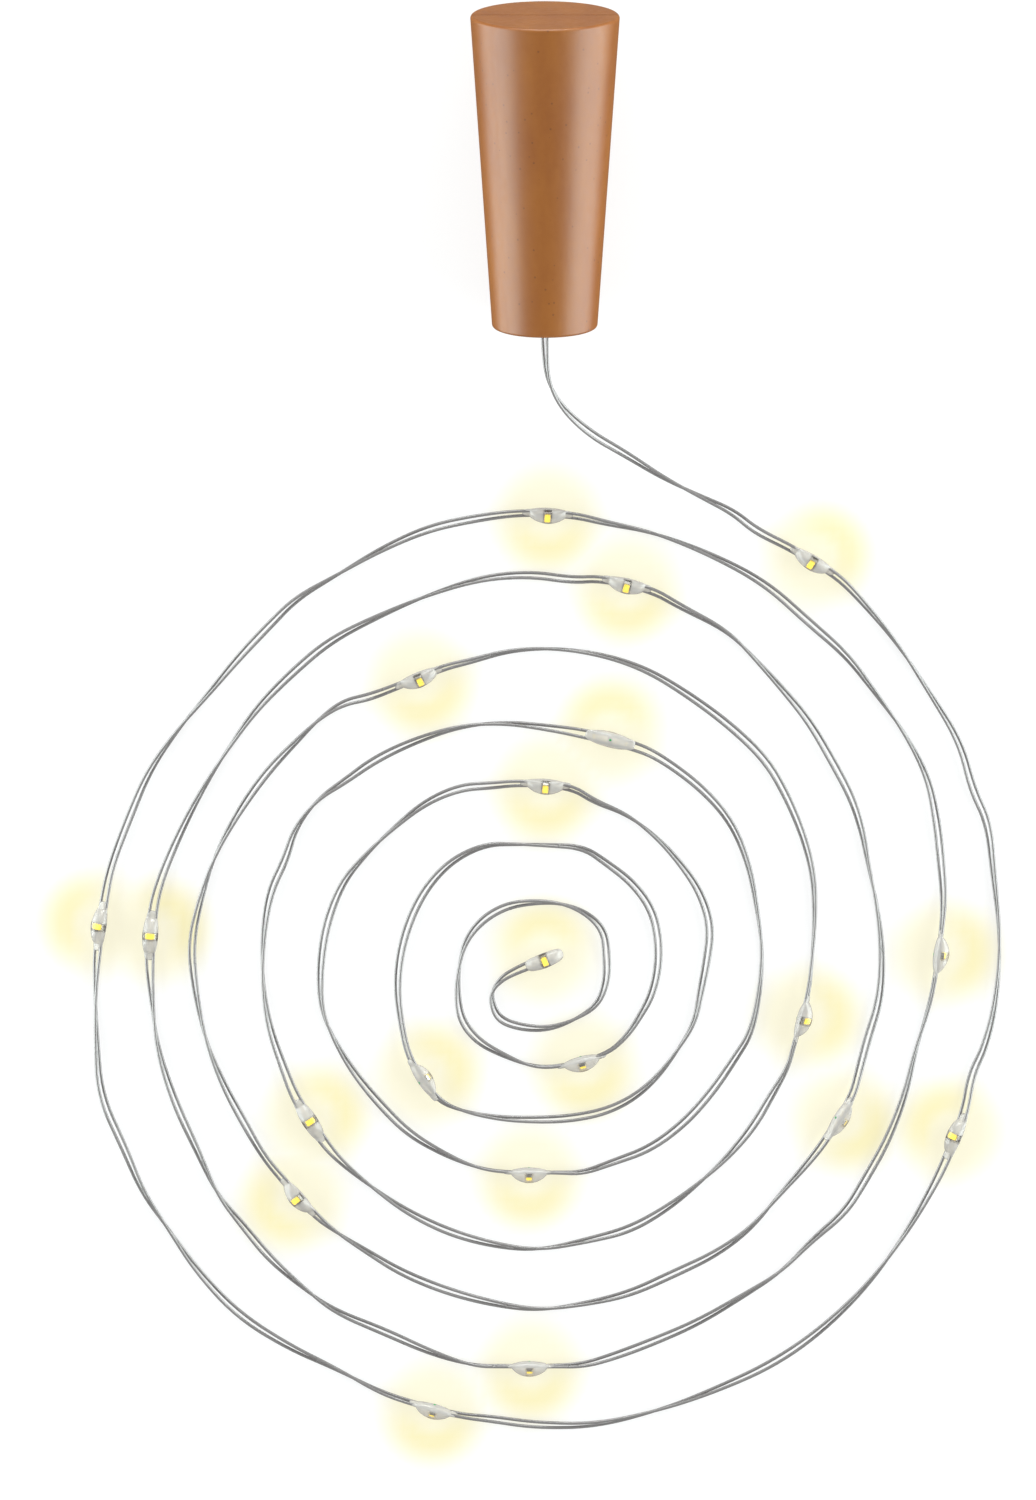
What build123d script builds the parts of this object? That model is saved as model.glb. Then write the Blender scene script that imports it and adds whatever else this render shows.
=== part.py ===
from build123d import *
import math
import os

# A cork-shaped bottle stopper that holds three button cells and lights a two metre string of twenty drops.
# Lengths are millimetres and angles are degrees. The stopper lies on its side on the floor, wide end towards
# +Y, and the string lies in a flat spiral in front of it, towards -Y. The origin is on the floor below the
# middle of the stopper.

# Stopper body
cork_length = 49.0
wide_diameter = 23.0
narrow_diameter = 16.3
shell_wall = 1.2
end_round = 0.5
seam_groove_width = 0.2
seam_groove_depth = 0.15
cut_overrun = 1.0
seat_gap = 0.05
rib_sink = 0.4

# Cover tabs, which slide down inside the rear shell
tab_thickness = 0.8
tab_width = 3.0
tab_reach = 2.5
tab_clearance = 0.15
tab_centres = (22.0, 42.5)

# Button cells
cell_count = 3
cell_diameter = 11.6
cell_height = 5.4
cell_cap_diameter = 9.2
cell_cap_proud = 0.4
cell_seal_width = 0.4
cell_crimp_depth = 0.6
cell_edge_round = 0.3
cell_gap = 0.02

# Battery tray and its contacts
tray_start = 10.2
tray_wall = 1.0
tray_side_rise = 1.0
tray_cell_clearance = 0.15
tray_rib_width = 1.6
contact_thickness = 0.4
contact_width = 7.0
contact_height = 8.0
contact_tail_width = 1.6
contact_tail_length = 2.4
spring_length = 3.4
spring_turns = 3
spring_wire = 0.45
spring_diameter = 6.4
end_play = 0.1
flange_length = 4.4
flange_width = 13.0
flange_thickness = 1.2
flange_top = -2.0

# Tray screws
screw_spacing = 9.0
screw_shank_diameter = 1.6
screw_shank_length = 4.0
screw_head_diameter = 2.8
screw_head_height = 0.9
screw_slot_width = 0.5
screw_slot_depth = 0.4
screw_clearance = 0.05
boss_diameter = 3.6

# Circuit board
board_end_gap = 1.2
board_length = 6.4
board_width = 8.6
board_thickness = 0.8
board_top = -1.7
board_post_diameter = 1.8
board_pin_diameter = 0.9
board_pin_rise = 0.5
board_post_spacing = 6.0
resistor_length = 2.0
resistor_width = 1.25
resistor_height = 0.55
resistor_end_length = 0.35
resistor_end_proud = 0.04
solder_diameter = 1.1
solder_height = 0.4
pad_spacing = 2.6
pad_inset = 1.1
strand_pad_inset = 2.2

# Slide switch
switch_centre = 40.5
switch_length = 8.6
switch_width = 4.4
switch_height = 3.2
switch_sheet = 0.4
switch_ear_length = 2.0
switch_ear_width = 2.4
switch_stake_diameter = 1.0
switch_stake_rise = 0.5
switch_wall_gap = 0.52
switch_travel = 2.0
switch_wafer_height = 0.8
switch_pin_width = 0.6
switch_pin_length = 2.2
switch_pin_pitch = 2.5
slider_length = 4.0
slider_height = 1.1
slider_clearance = 0.15
knob_length = 1.9
knob_width = 1.7
knob_recess = 0.45
knob_side_clearance = 0.25
wiper_thickness = 0.2
wiper_width = 1.2
wiper_length = 3.2
scoop_length = 8.0
scoop_width = 5.0
scoop_depth = 0.5

# Leads inside the stopper
lead_diameter = 0.8
lead_side = 6.3
lead_height = 2.3
lead_turn = 0.9
lead_rise = 1.8

# Exit grommet
grommet_neck_diameter = 3.0
grommet_flange_diameter = 4.6
grommet_flange_height = 1.0

# Light string
strand_diameter = 0.5
pair_spread = 0.45
drop_pair_spread = 0.6
exit_pair_spread = 0.4
exit_run = 4.5
string_rest_height = 0.75
drop_run = 8.0
end_run_in = 2.0
half_circle = 180.0
arc_share = 0.45
potting_gap = 0.05
bore_turns = (15.0, 50.0, 75.0)
spiral_centre = (0.0, -128.5)

# Light drops
drop_length = 5.6
drop_diameter = 2.6
drop_tip_diameter = 1.2
drop_dome_offset = 0.45
drop_tip_round = 0.25
end_drop_length = 6.3
end_drop_diameter = 2.5
end_wire_reach = 1.4
chip_length = 1.0
chip_width = 1.6
chip_height = 0.7
chip_round = 0.25

# Route of the string from the stopper to the first drop, as places above the floor
lead_in_points = [
    (0.6, -33.9, 6.6),
    (3.0, -38.2, 5.0),
    (7.3, -42.3, 3.5),
    (12.5, -45.5, 2.3),
    (18.5, -49.5, 1.4),
    (24.5, -52.6, 0.9),
    (29.5, -55.0, 0.8),
    (33.0, -58.0, 0.8),
]

# Each drop has its place, the heading of the string in it, the roll of its dome and the half twists so far
drops = [
    (41.9, -62.7, -31.0, 40.0, 2),
    (65.1, -155.3, -111.0, 40.0, 2),
    (-17.6, -199.8, 164.0, -100.0, 3),
    (-69.9, -121.2, 82.0, -35.0, 2),
    (0.5, -55.2, -3.0, 45.0, 2),
    (62.1, -125.7, -97.0, -100.0, 3),
    (-2.3, -192.8, 180.0, -85.0, 2),
    (-62.0, -122.7, 86.0, -8.0, 3),
    (12.9, -66.4, -13.0, 40.0, 2),
    (46.6, -152.3, -121.0, -125.0, 3),
    (-38.9, -165.2, 131.0, -40.0, 2),
    (-19.7, -81.3, 23.0, 45.0, 3),
    (40.6, -136.2, -106.0, -70.0, 2),
    (-37.1, -152.8, 122.0, 10.0, 3),
    (10.3, -91.1, -14.0, 172.0, 2),
    (-2.4, -161.1, 180.0, -80.0, 3),
    (0.2, -98.4, -4.0, 45.0, 2),
    (-19.2, -146.0, 123.0, 125.0, 2),
    (5.9, -143.0, -165.5, -85.0, 3),
    (0.0, -126.6, 21.6, 15.0, 4),
]

# Bends of the string before each next drop, as a bearing clockwise from +Y and a distance from the centre
bends = [
    [(39, 77.6), (46, 76.4), (53, 75.2), (60.5, 75.0), (66.5, 73.3), (71, 73.8), (77.5, 72.4),
     (86, 72.1), (94, 71.5), (100, 70.7), (104, 69.5)],
    [(120, 70.9), (126.5, 71.5), (134.5, 72.5), (143, 73.3), (150.5, 73.7), (158, 73.6), (165, 74.0),
     (173.5, 74.7), (181, 74.2), (186.5, 73.6)],
    [(201, 73.5), (207, 72.8), (213.5, 73.5), (221, 74.2), (228.5, 73.6), (234.5, 72.9), (240.5, 73.1),
     (246.5, 72.4), (254, 73.1), (261.5, 71.5), (267.5, 70.9)],
    [(284, 70.3), (290.5, 69.8), (297.5, 70.0), (304, 69.4), (310.5, 69.0), (316.5, 69.5), (322, 70.2),
     (327, 71.3), (333, 71.3), (339, 72.2), (345.5, 73.2), (351.5, 73.3)],
    [(7.5, 72.4), (13.5, 72.3), (21, 71.7), (29, 71.2), (36.5, 69.6), (43, 69.4), (49, 68.5),
     (56, 68.3), (62.5, 67.9), (68.5, 66.3), (74, 64.9), (79.5, 64.0)],
    [(96, 60.9), (102.5, 60.0), (109, 60.5), (116.5, 60.9), (123.5, 61.1), (129.5, 61.8), (136, 61.0),
     (142.5, 61.8), (149, 61.6), (157, 62.3), (165, 63.0), (170.5, 63.9), (174.5, 64.6)],
    [(189.8, 65.4), (196, 64.8), (203.5, 64.0), (211, 64.7), (217, 64.2), (223, 63.9), (229, 63.2),
     (235, 63.3), (241.5, 62.2), (250, 62.2), (258.5, 62.4), (266, 62.1)],
    [(284, 62.2), (291, 61.5), (298.5, 61.2), (306, 61.2), (313, 61.8), (320, 62.1), (327.5, 62.8),
     (335, 62.6), (343, 63.0), (351, 63.8), (358, 63.7), (4, 62.8)],
    [(20, 62.2), (27.5, 61.7), (33, 60.1), (39, 58.8), (46, 57.8), (53.5, 56.4), (60, 55.8),
     (66, 54.8), (71, 53.8), (79, 53.5), (87, 53.4), (95, 53.2), (102, 52.2), (108, 52.3)],
    [(127, 52.1), (134.5, 52.1), (142, 53.2), (149.5, 53.5), (157.5, 53.4), (165.5, 54.3), (173, 54.6),
     (180.8, 55.3), (188, 54.8), (196, 54.4), (204.5, 54.1), (212, 53.6), (218, 53.8)],
    [(236, 53.7), (243, 53.5), (250.5, 54.0), (258.5, 54.7), (267, 55.2), (274.5, 55.9), (282, 55.4),
     (290, 55.1), (298, 54.5), (306, 54.1), (313, 53.7), (319.5, 53.8), (324, 53.4), (328, 51.9)],
    [(347, 51.1), (354, 51.8), (2, 51.9), (10.5, 51.6), (18.5, 51.0), (27, 49.8), (36, 49.1),
     (45.5, 48.7), (53.5, 47.4), (62, 46.2), (70, 45.1), (78, 43.6), (86, 42.4)],
    [(112, 41.6), (119, 41.2), (127, 41.6), (135.5, 41.9), (144, 42.3), (153, 43.2), (162, 44.2),
     (170, 44.3), (181, 45.5), (190, 45.3), (199.5, 45.1), (209, 44.8), (218, 44.5), (226, 44.7)],
    [(249, 44.1), (258.5, 44.4), (268, 44.5), (277.5, 44.7), (286.5, 45.1), (294, 44.5), (300.5, 45.5),
     (308, 45.1), (314, 43.8), (322, 43.2), (331, 42.3), (341, 41.6), (351, 40.5), (1.5, 39.1)],
    [(28, 38.9), (40, 38.5), (51, 38.0), (62, 36.5), (73, 35.0), (84, 34.6), (95.5, 34.2),
     (107, 34.2), (115, 33.3), (126, 33.0), (138, 33.2), (150, 33.4), (161, 32.9), (169.5, 33.4)],
    [(199, 33.7), (208, 33.7), (219, 34.0), (230, 33.8), (241, 34.3), (251, 35.0), (260, 35.8),
     (271, 35.4), (282.5, 35.2), (294, 34.9), (303, 33.9), (314, 33.1), (325.5, 33.0),
     (336, 32.4), (344.5, 31.0)],
    [(16, 28.4), (27, 28.4), (39, 27.9), (51, 27.6), (63, 27.7), (75, 27.2), (86, 25.7),
     (97, 24.9), (109, 25.2), (121, 24.7), (133, 24.8), (145, 25.0), (157, 24.8), (170, 24.3),
     (183, 24.2), (196, 24.9), (208, 26.0)],
    [(250, 24.1), (264, 23.4), (279, 22.9), (294, 22.8), (308, 23.0), (322, 23.0), (336, 22.4),
     (348, 20.9), (1, 20.3), (17, 20.9), (29, 20.0), (44, 19.9), (59, 19.7), (73, 18.8),
     (88, 18.0), (103, 17.4), (115.5, 16.8), (129, 16.8)],
    [(188, 15.6), (205, 15.1), (222, 15.5), (238, 15.4), (254, 14.3), (273, 13.5), (292, 13.4),
     (311, 12.8), (331, 12.1), (352, 11.3), (14, 11.3), (35, 11.5), (55, 11.5), (75, 10.2),
     (99, 10.0), (123, 10.1), (148, 9.3), (175, 9.4), (200, 9.8), (222, 10.7), (240, 9.7),
     (251, 8.5), (261, 6.5), (272, 4.2)],
]

# Sizes worked out from the driving dimensions
narrow_radius = narrow_diameter / 2
wide_radius = wide_diameter / 2
taper = (wide_radius - narrow_radius) / cork_length
tilt = math.atan(taper)
tilt_degrees = math.degrees(tilt)
wall_across = shell_wall / math.cos(tilt)
cell_radius = cell_diameter / 2
trough_radius = cell_radius + tray_cell_clearance
tray_radius = trough_radius + tray_wall
stack_start = tray_start + tray_wall + contact_thickness + spring_length
stack_length = cell_count * cell_height
stack_end = stack_start + stack_length
tray_end = stack_end + end_play + contact_thickness + tray_wall
flange_end = tray_end + flange_length
screw_place = tray_end + flange_length / 2
board_start = shell_wall + board_end_gap
board_end = board_start + board_length
board_bottom = board_top - board_thickness
switch_start = switch_centre - switch_length / 2
switch_seat = switch_wall_gap + wall_across - narrow_radius - switch_start * taper
strand_radius = strand_diameter / 2
floor_half_length = (cork_length * math.cos(tilt) + (wide_radius - narrow_radius) * math.sin(tilt)) / 2
cork_seat = Location((0, -floor_half_length, narrow_radius * math.cos(tilt)), (tilt_degrees, 0, 0))

os.makedirs("parts", exist_ok=True)


def outer_radius(y):
    """Outer radius of the stopper at a distance from its narrow end."""
    return narrow_radius + y * taper


def inner_radius(y):
    """Radius of the hollow at a distance from the narrow end."""
    return outer_radius(y) - wall_across


def save(name, shape):
    """Writes one node that is already in its place."""
    shape.label = name
    export_step(shape, os.path.join("parts", name + ".step"))


def save_inside(name, shape):
    """Moves a piece from the stopper's own frame to its seat on the floor, and writes it."""
    save(name, cork_seat * shape)


def save_group_inside(name, shapes):
    """Moves like pieces of the stopper to their seats on the floor, and writes them as one node."""
    save(name, Compound(children=[cork_seat * shape for shape in shapes]))


def block(x, y, z):
    """A box between two values along each of the three axes."""
    sides = Box(x[1] - x[0], y[1] - y[0], z[1] - z[0])
    return Pos((x[0] + x[1]) / 2, (y[0] + y[1]) / 2, (z[0] + z[1]) / 2) * sides


def centred(size):
    """The two ends of a size that lies evenly about zero."""
    return (-size / 2, size / 2)


def upright(x, y, radius, z):
    """A round post along Z between two heights."""
    post = Cylinder(radius, z[1] - z[0], align=(Align.CENTER, Align.CENTER, Align.MIN))
    return Pos(x, y, z[0]) * post


def disc(radius, y):
    """A round body about the stopper's axis between two distances from the narrow end."""
    body = Cylinder(radius, y[1] - y[0], align=(Align.CENTER, Align.CENTER, Align.MIN))
    return Pos(0, y[0], 0) * Rot(X=-90) * body


def cone(start_radius, end_radius, y):
    """A tapered body about the stopper's axis."""
    body = Cone(start_radius, end_radius, y[1] - y[0], align=(Align.CENTER, Align.CENTER, Align.MIN))
    return Pos(0, y[0], 0) * Rot(X=-90) * body


def half_space(side):
    """A box that covers all of the stopper on one side of the seam."""
    reach = wide_diameter
    ends = (-cut_overrun, cork_length + cut_overrun)
    heights = (0, reach) if side > 0 else (-reach, 0)
    return block((-reach, reach), ends, heights)


def cork_body():
    """The whole outer form of the stopper with its rounded ends."""
    body = cone(narrow_radius, wide_radius, (0, cork_length))
    return fillet(body.edges().filter_by(GeomType.CIRCLE), end_round)


def cork_hollow():
    """The hollow inside the stopper."""
    far = cork_length - shell_wall
    return cone(inner_radius(shell_wall), inner_radius(far), (shell_wall, far))


def seam_groove():
    """The fine groove that runs round the seam between the two shells."""
    ends = (-cut_overrun, cork_length + cut_overrun)
    slab = block((-wide_diameter, wide_diameter), ends, centred(seam_groove_width))
    core_ends = (seam_groove_depth, cork_length - seam_groove_depth)
    core_radii = [outer_radius(y) - seam_groove_depth / math.cos(tilt) for y in core_ends]
    return slab - cone(core_radii[0], core_radii[1], core_ends)


def wall_band(clearance, thickness, y):
    """A ring inside the wall of the hollow, at a clearance from it."""
    radii = [inner_radius(place) - clearance for place in y]
    longer = (y[0] - cut_overrun, y[1] + cut_overrun)
    core = [inner_radius(place) - clearance - thickness for place in longer]
    return cone(radii[0], radii[1], y) - cone(core[0], core[1], longer)


def grommet_hole():
    """The round way out for the string in the middle of the narrow end."""
    neck = disc(grommet_neck_diameter / 2 + seat_gap, (-cut_overrun, shell_wall + cut_overrun))
    return neck


def cover_tabs():
    """The tabs that guide the cover inside the rear shell, joined to the cover's wall above the seam."""
    tabs = []
    for centre in tab_centres:
        y = (centre - tab_width / 2, centre + tab_width / 2)
        band = wall_band(tab_clearance, tab_thickness, y)
        root = wall_band(-rib_sink, rib_sink + tab_clearance + tab_thickness, y)
        for side in (-1, 1):
            x = (0, wide_diameter) if side > 0 else (-wide_diameter, 0)
            tabs.append(band & block(x, y, (-tab_reach, tab_reach)))
            tabs.append(root & block(x, y, (0, tab_reach)))
    return tabs


def make_front_cover(body, hollow):
    """The half shell that faces up and lifts off."""
    shell = (body - hollow) & half_space(1)
    shell = shell - grommet_hole() - seam_groove()
    for tab in cover_tabs():
        shell = shell + tab
    return shell


def make_rear_shell(body, hollow):
    """The half shell that lies on the floor, with the seats of everything inside."""
    shell = (body - hollow) & half_space(-1)
    supports = rear_supports()
    for support in supports:
        shell = shell + (support & body)
    return shell - grommet_hole() - seam_groove() - switch_cut()


def rear_supports():
    """Saddle ribs, screw bosses, board posts and the switch pad, before they are trimmed to the shell."""
    supports = []
    low = -wide_diameter
    for start in (tray_start + tray_wall, tray_end - tray_wall - tray_rib_width):
        y = (start, start + tray_rib_width)
        rib = block(centred(contact_width), y, (low, -tray_radius / 2))
        supports.append(rib - disc(tray_radius + seat_gap, (y[0] - cut_overrun, y[1] + cut_overrun)))
    boss_top = flange_top - flange_thickness
    for side in (-1, 1):
        x = side * screw_spacing / 2
        boss = upright(x, screw_place, boss_diameter / 2, (low, boss_top))
        hole = upright(x, screw_place, screw_shank_diameter / 2 + screw_clearance,
                       (boss_top - screw_shank_length, boss_top + cut_overrun))
        supports.append(boss - hole)
    post_y = (board_start + board_end) / 2
    for side in (-1, 1):
        x = side * board_post_spacing / 2
        post = upright(x, post_y, board_post_diameter / 2, (low, board_bottom))
        pin = upright(x, post_y, board_pin_diameter / 2, (board_bottom, board_top + board_pin_rise))
        supports.append(post + pin)
    pad_half = switch_length / 2 + switch_ear_length
    pad_y = (switch_centre - pad_half, switch_centre + pad_half)
    pad = block(centred(switch_width), pad_y, (low, switch_seat))
    for place in stake_places():
        pad = pad + upright(0, place, switch_stake_diameter / 2, (switch_seat, switch_seat + switch_sheet
                                                                  + switch_stake_rise))
    supports.append(pad)
    return supports


def stake_places():
    """Where the two stakes hold the ears of the switch."""
    reach = switch_length / 2 + switch_ear_length / 2
    return (switch_centre - reach, switch_centre + reach)


def switch_cut():
    """The slot for the knob of the switch, and the shallow scoop for a fingertip round it."""
    slot_length = knob_length + switch_travel + 2 * knob_side_clearance
    slot_width = knob_width + 2 * knob_side_clearance
    slot_y = (switch_centre - slot_length / 2, switch_centre + slot_length / 2)
    slot = block(centred(slot_width), slot_y, (-wide_diameter, switch_seat + cut_overrun))
    ends = (switch_centre - scoop_length / 2, switch_centre + scoop_length / 2)
    floor_ends = [outer_radius(y) - scoop_depth for y in ends]
    core = cone(floor_ends[0], floor_ends[1], ends)
    ring = block(centred(scoop_width), ends, (-wide_diameter, switch_seat)) - core
    return slot + ring


def make_tray():
    """The open trough that holds the cells, with its end walls and its screw flange."""
    length = (tray_start, tray_end)
    shape = disc(tray_radius, length) & block((-tray_radius, tray_radius), length, (-tray_radius, 0))
    shape = shape + block((-tray_radius, tray_radius), length, (0, tray_side_rise))
    room = (tray_start + tray_wall, tray_end - tray_wall)
    cavity = disc(trough_radius, room)
    cavity = cavity + block((-trough_radius, trough_radius), room, (0, tray_side_rise + cut_overrun))
    shape = shape - cavity
    flange = block(centred(flange_width), (tray_end - tray_wall, flange_end),
                   (flange_top - flange_thickness, flange_top))
    flange = flange - disc(trough_radius, (room[0], room[1]))
    shape = shape + flange
    for side in (-1, 1):
        shape = shape - upright(side * screw_spacing / 2, screw_place,
                                screw_shank_diameter / 2 + screw_clearance,
                                (flange_top - flange_thickness - cut_overrun, flange_top + cut_overrun))
    tail_slot = contact_tail_width + 2 * seat_gap
    near_wall = (tray_start - cut_overrun, tray_start + tray_wall)
    far_wall = (tray_end - tray_wall, tray_end + cut_overrun)
    for y in (near_wall, far_wall):
        notch = block(centred(tail_slot), y, (tray_side_rise - contact_thickness - seat_gap,
                                              tray_side_rise + cut_overrun))
        shape = shape - notch
    return shape


def make_contact(inner_face, outward):
    """A flat contact plate against an end wall of the tray, with a solder tail bent out over that wall."""
    plate_y = sorted((inner_face, inner_face + outward * contact_thickness))
    plate = block(centred(contact_width), plate_y, (tray_side_rise - contact_height, tray_side_rise))
    plate = plate & disc(trough_radius - seat_gap, (plate_y[0] - cut_overrun, plate_y[1] + cut_overrun))
    tail_reach = contact_thickness + tray_wall + contact_tail_length
    tail_y = sorted((inner_face, inner_face + outward * tail_reach))
    tail = block(centred(contact_tail_width), tail_y, (tray_side_rise - contact_thickness, tray_side_rise))
    return plate + tail


def make_spring():
    """The coil spring that presses on the cap of the first cell."""
    pitch = (spring_length - spring_wire) / spring_turns
    mean_radius = (spring_diameter - spring_wire) / 2
    helix = Helix(pitch, spring_length - spring_wire, mean_radius)
    start = helix @ 0
    section = Plane(origin=start, z_dir=helix % 0) * Circle(spring_wire / 2 - seat_gap)
    coil = sweep(section, path=helix, is_frenet=True)
    base = stack_start - spring_length + spring_wire / 2
    return Pos(0, base, 0) * Rot(X=-90) * coil


def make_cell(index):
    """The can, the cap and the seal of one button cell, with its cap towards the narrow end."""
    cap_face = stack_start + index * cell_height
    can_face = cap_face + cell_cap_proud
    back = cap_face + cell_height - cell_gap
    floor = can_face + cell_crimp_depth
    cap_radius = cell_cap_diameter / 2
    seal_radius = cap_radius + cell_seal_width
    can = disc(cell_radius, (can_face, back))
    can = fillet(can.edges().filter_by(GeomType.CIRCLE), cell_edge_round)
    can = can - disc(seal_radius, (can_face - cut_overrun, floor))
    cap = disc(cap_radius, (cap_face, floor))
    cap = fillet(cap.edges().filter_by(GeomType.CIRCLE).sort_by(Axis.Y)[0], cell_edge_round)
    seal = disc(seal_radius, (can_face, floor))
    seal = seal - disc(cap_radius, (can_face - cut_overrun, floor + cut_overrun))
    return can, cap, seal


def make_screw(side):
    """A slotted screw through the flange of the tray into its boss."""
    x = side * screw_spacing / 2
    shank = upright(x, screw_place, screw_shank_diameter / 2, (flange_top - screw_shank_length, flange_top))
    head = upright(x, screw_place, screw_head_diameter / 2, (flange_top, flange_top + screw_head_height))
    top = flange_top + screw_head_height
    slot = block((x - screw_head_diameter, x + screw_head_diameter),
                 (screw_place - screw_slot_width / 2, screw_place + screw_slot_width / 2),
                 (top - screw_slot_depth, top + cut_overrun))
    return shank + head - slot


def pad_place(side):
    """The pad of the board where one strand of the string is soldered."""
    return (side * pad_spacing / 2, board_start + strand_pad_inset)


def battery_pad(side):
    """The pad of the board where one battery lead is soldered."""
    return (side * (board_width / 2 - pad_inset), board_end - pad_inset)


def make_board():
    """The small circuit board on its two posts."""
    board = block(centred(board_width), (board_start, board_end), (board_bottom, board_top))
    post_y = (board_start + board_end) / 2
    for side in (-1, 1):
        board = board - upright(side * board_post_spacing / 2, post_y, board_pin_diameter / 2 + seat_gap,
                                (board_bottom - cut_overrun, board_top + cut_overrun))
    return board


def make_resistor():
    """The chip resistor in the middle of the board, a thin plate between two thicker metal ends."""
    middle = (board_start + board_end) / 2
    start = middle - resistor_length / 2
    end = middle + resistor_length / 2
    z = (board_top, board_top + resistor_height)
    plate = block(centred(resistor_width - 2 * resistor_end_proud), (start, end),
                  (z[0] + resistor_end_proud, z[1] - resistor_end_proud))
    near_end = block(centred(resistor_width), (start, start + resistor_end_length), z)
    far_end = block(centred(resistor_width), (end - resistor_end_length, end), z)
    return plate + near_end + far_end


def make_solder():
    """The round solder joints on the board, one under the end of each lead."""
    joints = []
    for side in (-1, 1):
        for x, y in (pad_place(side), battery_pad(side)):
            joints.append(upright(x, y, solder_diameter / 2, (board_top, board_top + solder_height)))
    return joints


def make_switch_frame():
    """The folded metal frame of the slide switch with an ear at each end."""
    y = (switch_centre - switch_length / 2, switch_centre + switch_length / 2)
    top = switch_seat + switch_height
    shell = block(centred(switch_width), y, (switch_seat, top))
    room_y = (y[0] + switch_sheet, y[1] - switch_sheet)
    sheet = (switch_seat, switch_seat + switch_sheet)
    room = block(centred(switch_width - 2 * switch_sheet), room_y, (sheet[1], top + cut_overrun))
    shell = shell - room
    shell = shell + block(centred(switch_ear_width), (y[0] - switch_ear_length, y[0]), sheet)
    shell = shell + block(centred(switch_ear_width), (y[1], y[1] + switch_ear_length), sheet)
    for place in stake_places():
        shell = shell - upright(0, place, switch_stake_diameter / 2 + seat_gap,
                                (switch_seat - cut_overrun, switch_seat + switch_sheet + cut_overrun))
    slot_length = knob_length + switch_travel + 2 * knob_side_clearance
    slot_y = (switch_centre - slot_length / 2, switch_centre + slot_length / 2)
    slot = block(centred(knob_width + 2 * knob_side_clearance), slot_y,
                 (switch_seat - cut_overrun, switch_seat + switch_sheet + cut_overrun))
    return shell - slot


def make_switch_wafer():
    """The insulating wafer that closes the switch frame."""
    y = (switch_centre - switch_length / 2, switch_centre + switch_length / 2)
    base = switch_seat + switch_height
    wafer = block(centred(switch_width), y, (base, base + switch_wafer_height))
    for x, place, z in pin_boxes(seat_gap):
        wafer = wafer - block(x, place, z)
    return wafer


def pin_boxes(gap):
    """The three pins of the switch as boxes, widened by a gap where they are cut from the wafer."""
    base = switch_seat + switch_height
    half = switch_pin_width / 2 + gap
    heights = (base, base + switch_wafer_height + switch_pin_length)
    for step in (-1, 0, 1):
        place = switch_centre + step * switch_pin_pitch
        yield (-half, half), (place - half, place + half), heights


def make_switch_pins():
    """The three pins that pass up through the wafer."""
    return [block(x, y, z) for x, y, z in pin_boxes(0)]


def make_slider():
    """The sliding block of the switch and its knob, which reaches down into the slot of the shell."""
    start = switch_centre - switch_travel / 2
    floor = switch_seat + switch_sheet + slider_clearance
    half_width = switch_width / 2 - switch_sheet - slider_clearance
    body = block((-half_width, half_width), (start - slider_length / 2, start + slider_length / 2),
                 (floor, floor + slider_height))
    tip = -outer_radius(start - knob_length / 2) + knob_recess
    knob = block(centred(knob_width), (start - knob_length / 2, start + knob_length / 2), (tip, floor))
    return body + knob


def make_wiper():
    """The sprung strip on the slider that bridges two pins."""
    start = switch_centre - switch_travel / 2
    base = switch_seat + switch_sheet + slider_clearance + slider_height
    strip = block(centred(wiper_width), (start - wiper_length / 2, start + wiper_length / 2),
                  (base, base + wiper_thickness))
    reach = switch_seat + switch_height - seat_gap
    dimple = upright(0, start, wiper_width / 2, (base, reach))
    return strip + dimple


def make_grommet():
    """The soft plug round the two strands where they leave the narrow end."""
    neck = disc(grommet_neck_diameter / 2, (0, shell_wall + grommet_flange_height / 2))
    flange_y = (shell_wall + seat_gap, shell_wall + seat_gap + grommet_flange_height)
    shape = neck + disc(grommet_flange_diameter / 2, flange_y)
    for side in (-1, 1):
        bore = disc(strand_radius + seat_gap, (-cut_overrun, flange_y[1] + cut_overrun))
        shape = shape - Pos(side * exit_pair_spread, 0, 0) * bore
    return shape


def bent_path(points, name=None):
    """Straight runs through the points, joined by tangent arcs as large as the runs allow."""
    places = [Vector(*point) for point in points]
    edges = []
    radii = []
    last = places[0]
    for before, corner, after in zip(places, places[1:], places[2:]):
        run_in = corner - before
        run_out = after - corner
        half_turn = math.radians(run_in.get_angle(run_out)) / 2
        setback = arc_share * min(run_in.length, run_out.length)
        radius = setback / math.tan(half_turn)
        way_in = run_in.normalized()
        way_out = run_out.normalized()
        start = corner - way_in * setback
        end = corner + way_out * setback
        inward = (way_out - way_in).normalized()
        middle = corner + inward * (radius / math.cos(half_turn) - radius)
        edges.append(Line(last, start))
        edges.append(ThreePointArc(start, middle, end))
        radii.append(radius)
        last = end
    edges.append(Line(last, places[-1]))
    if name:
        print(name, "arcs", len(radii), "least radius", round(min(radii), 2))
    return Wire(edges)


def tube(points, radius, name=None, turn=0.0):
    """A round tube along straight runs and tangent arcs, with its seam line turned about it."""
    path = bent_path(points, name)
    start = Vector(*points[0])
    ahead = Vector(*points[1]) - start
    section = Plane(origin=start, z_dir=ahead) * Rot(Z=turn) * Circle(radius)
    solid = sweep(section, path=path)
    if name:
        expected = math.pi * radius ** 2 * path.length
        print(name, "length", round(path.length, 1), "volume against section times length",
              round(solid.volume / expected, 4))
    return solid


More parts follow.
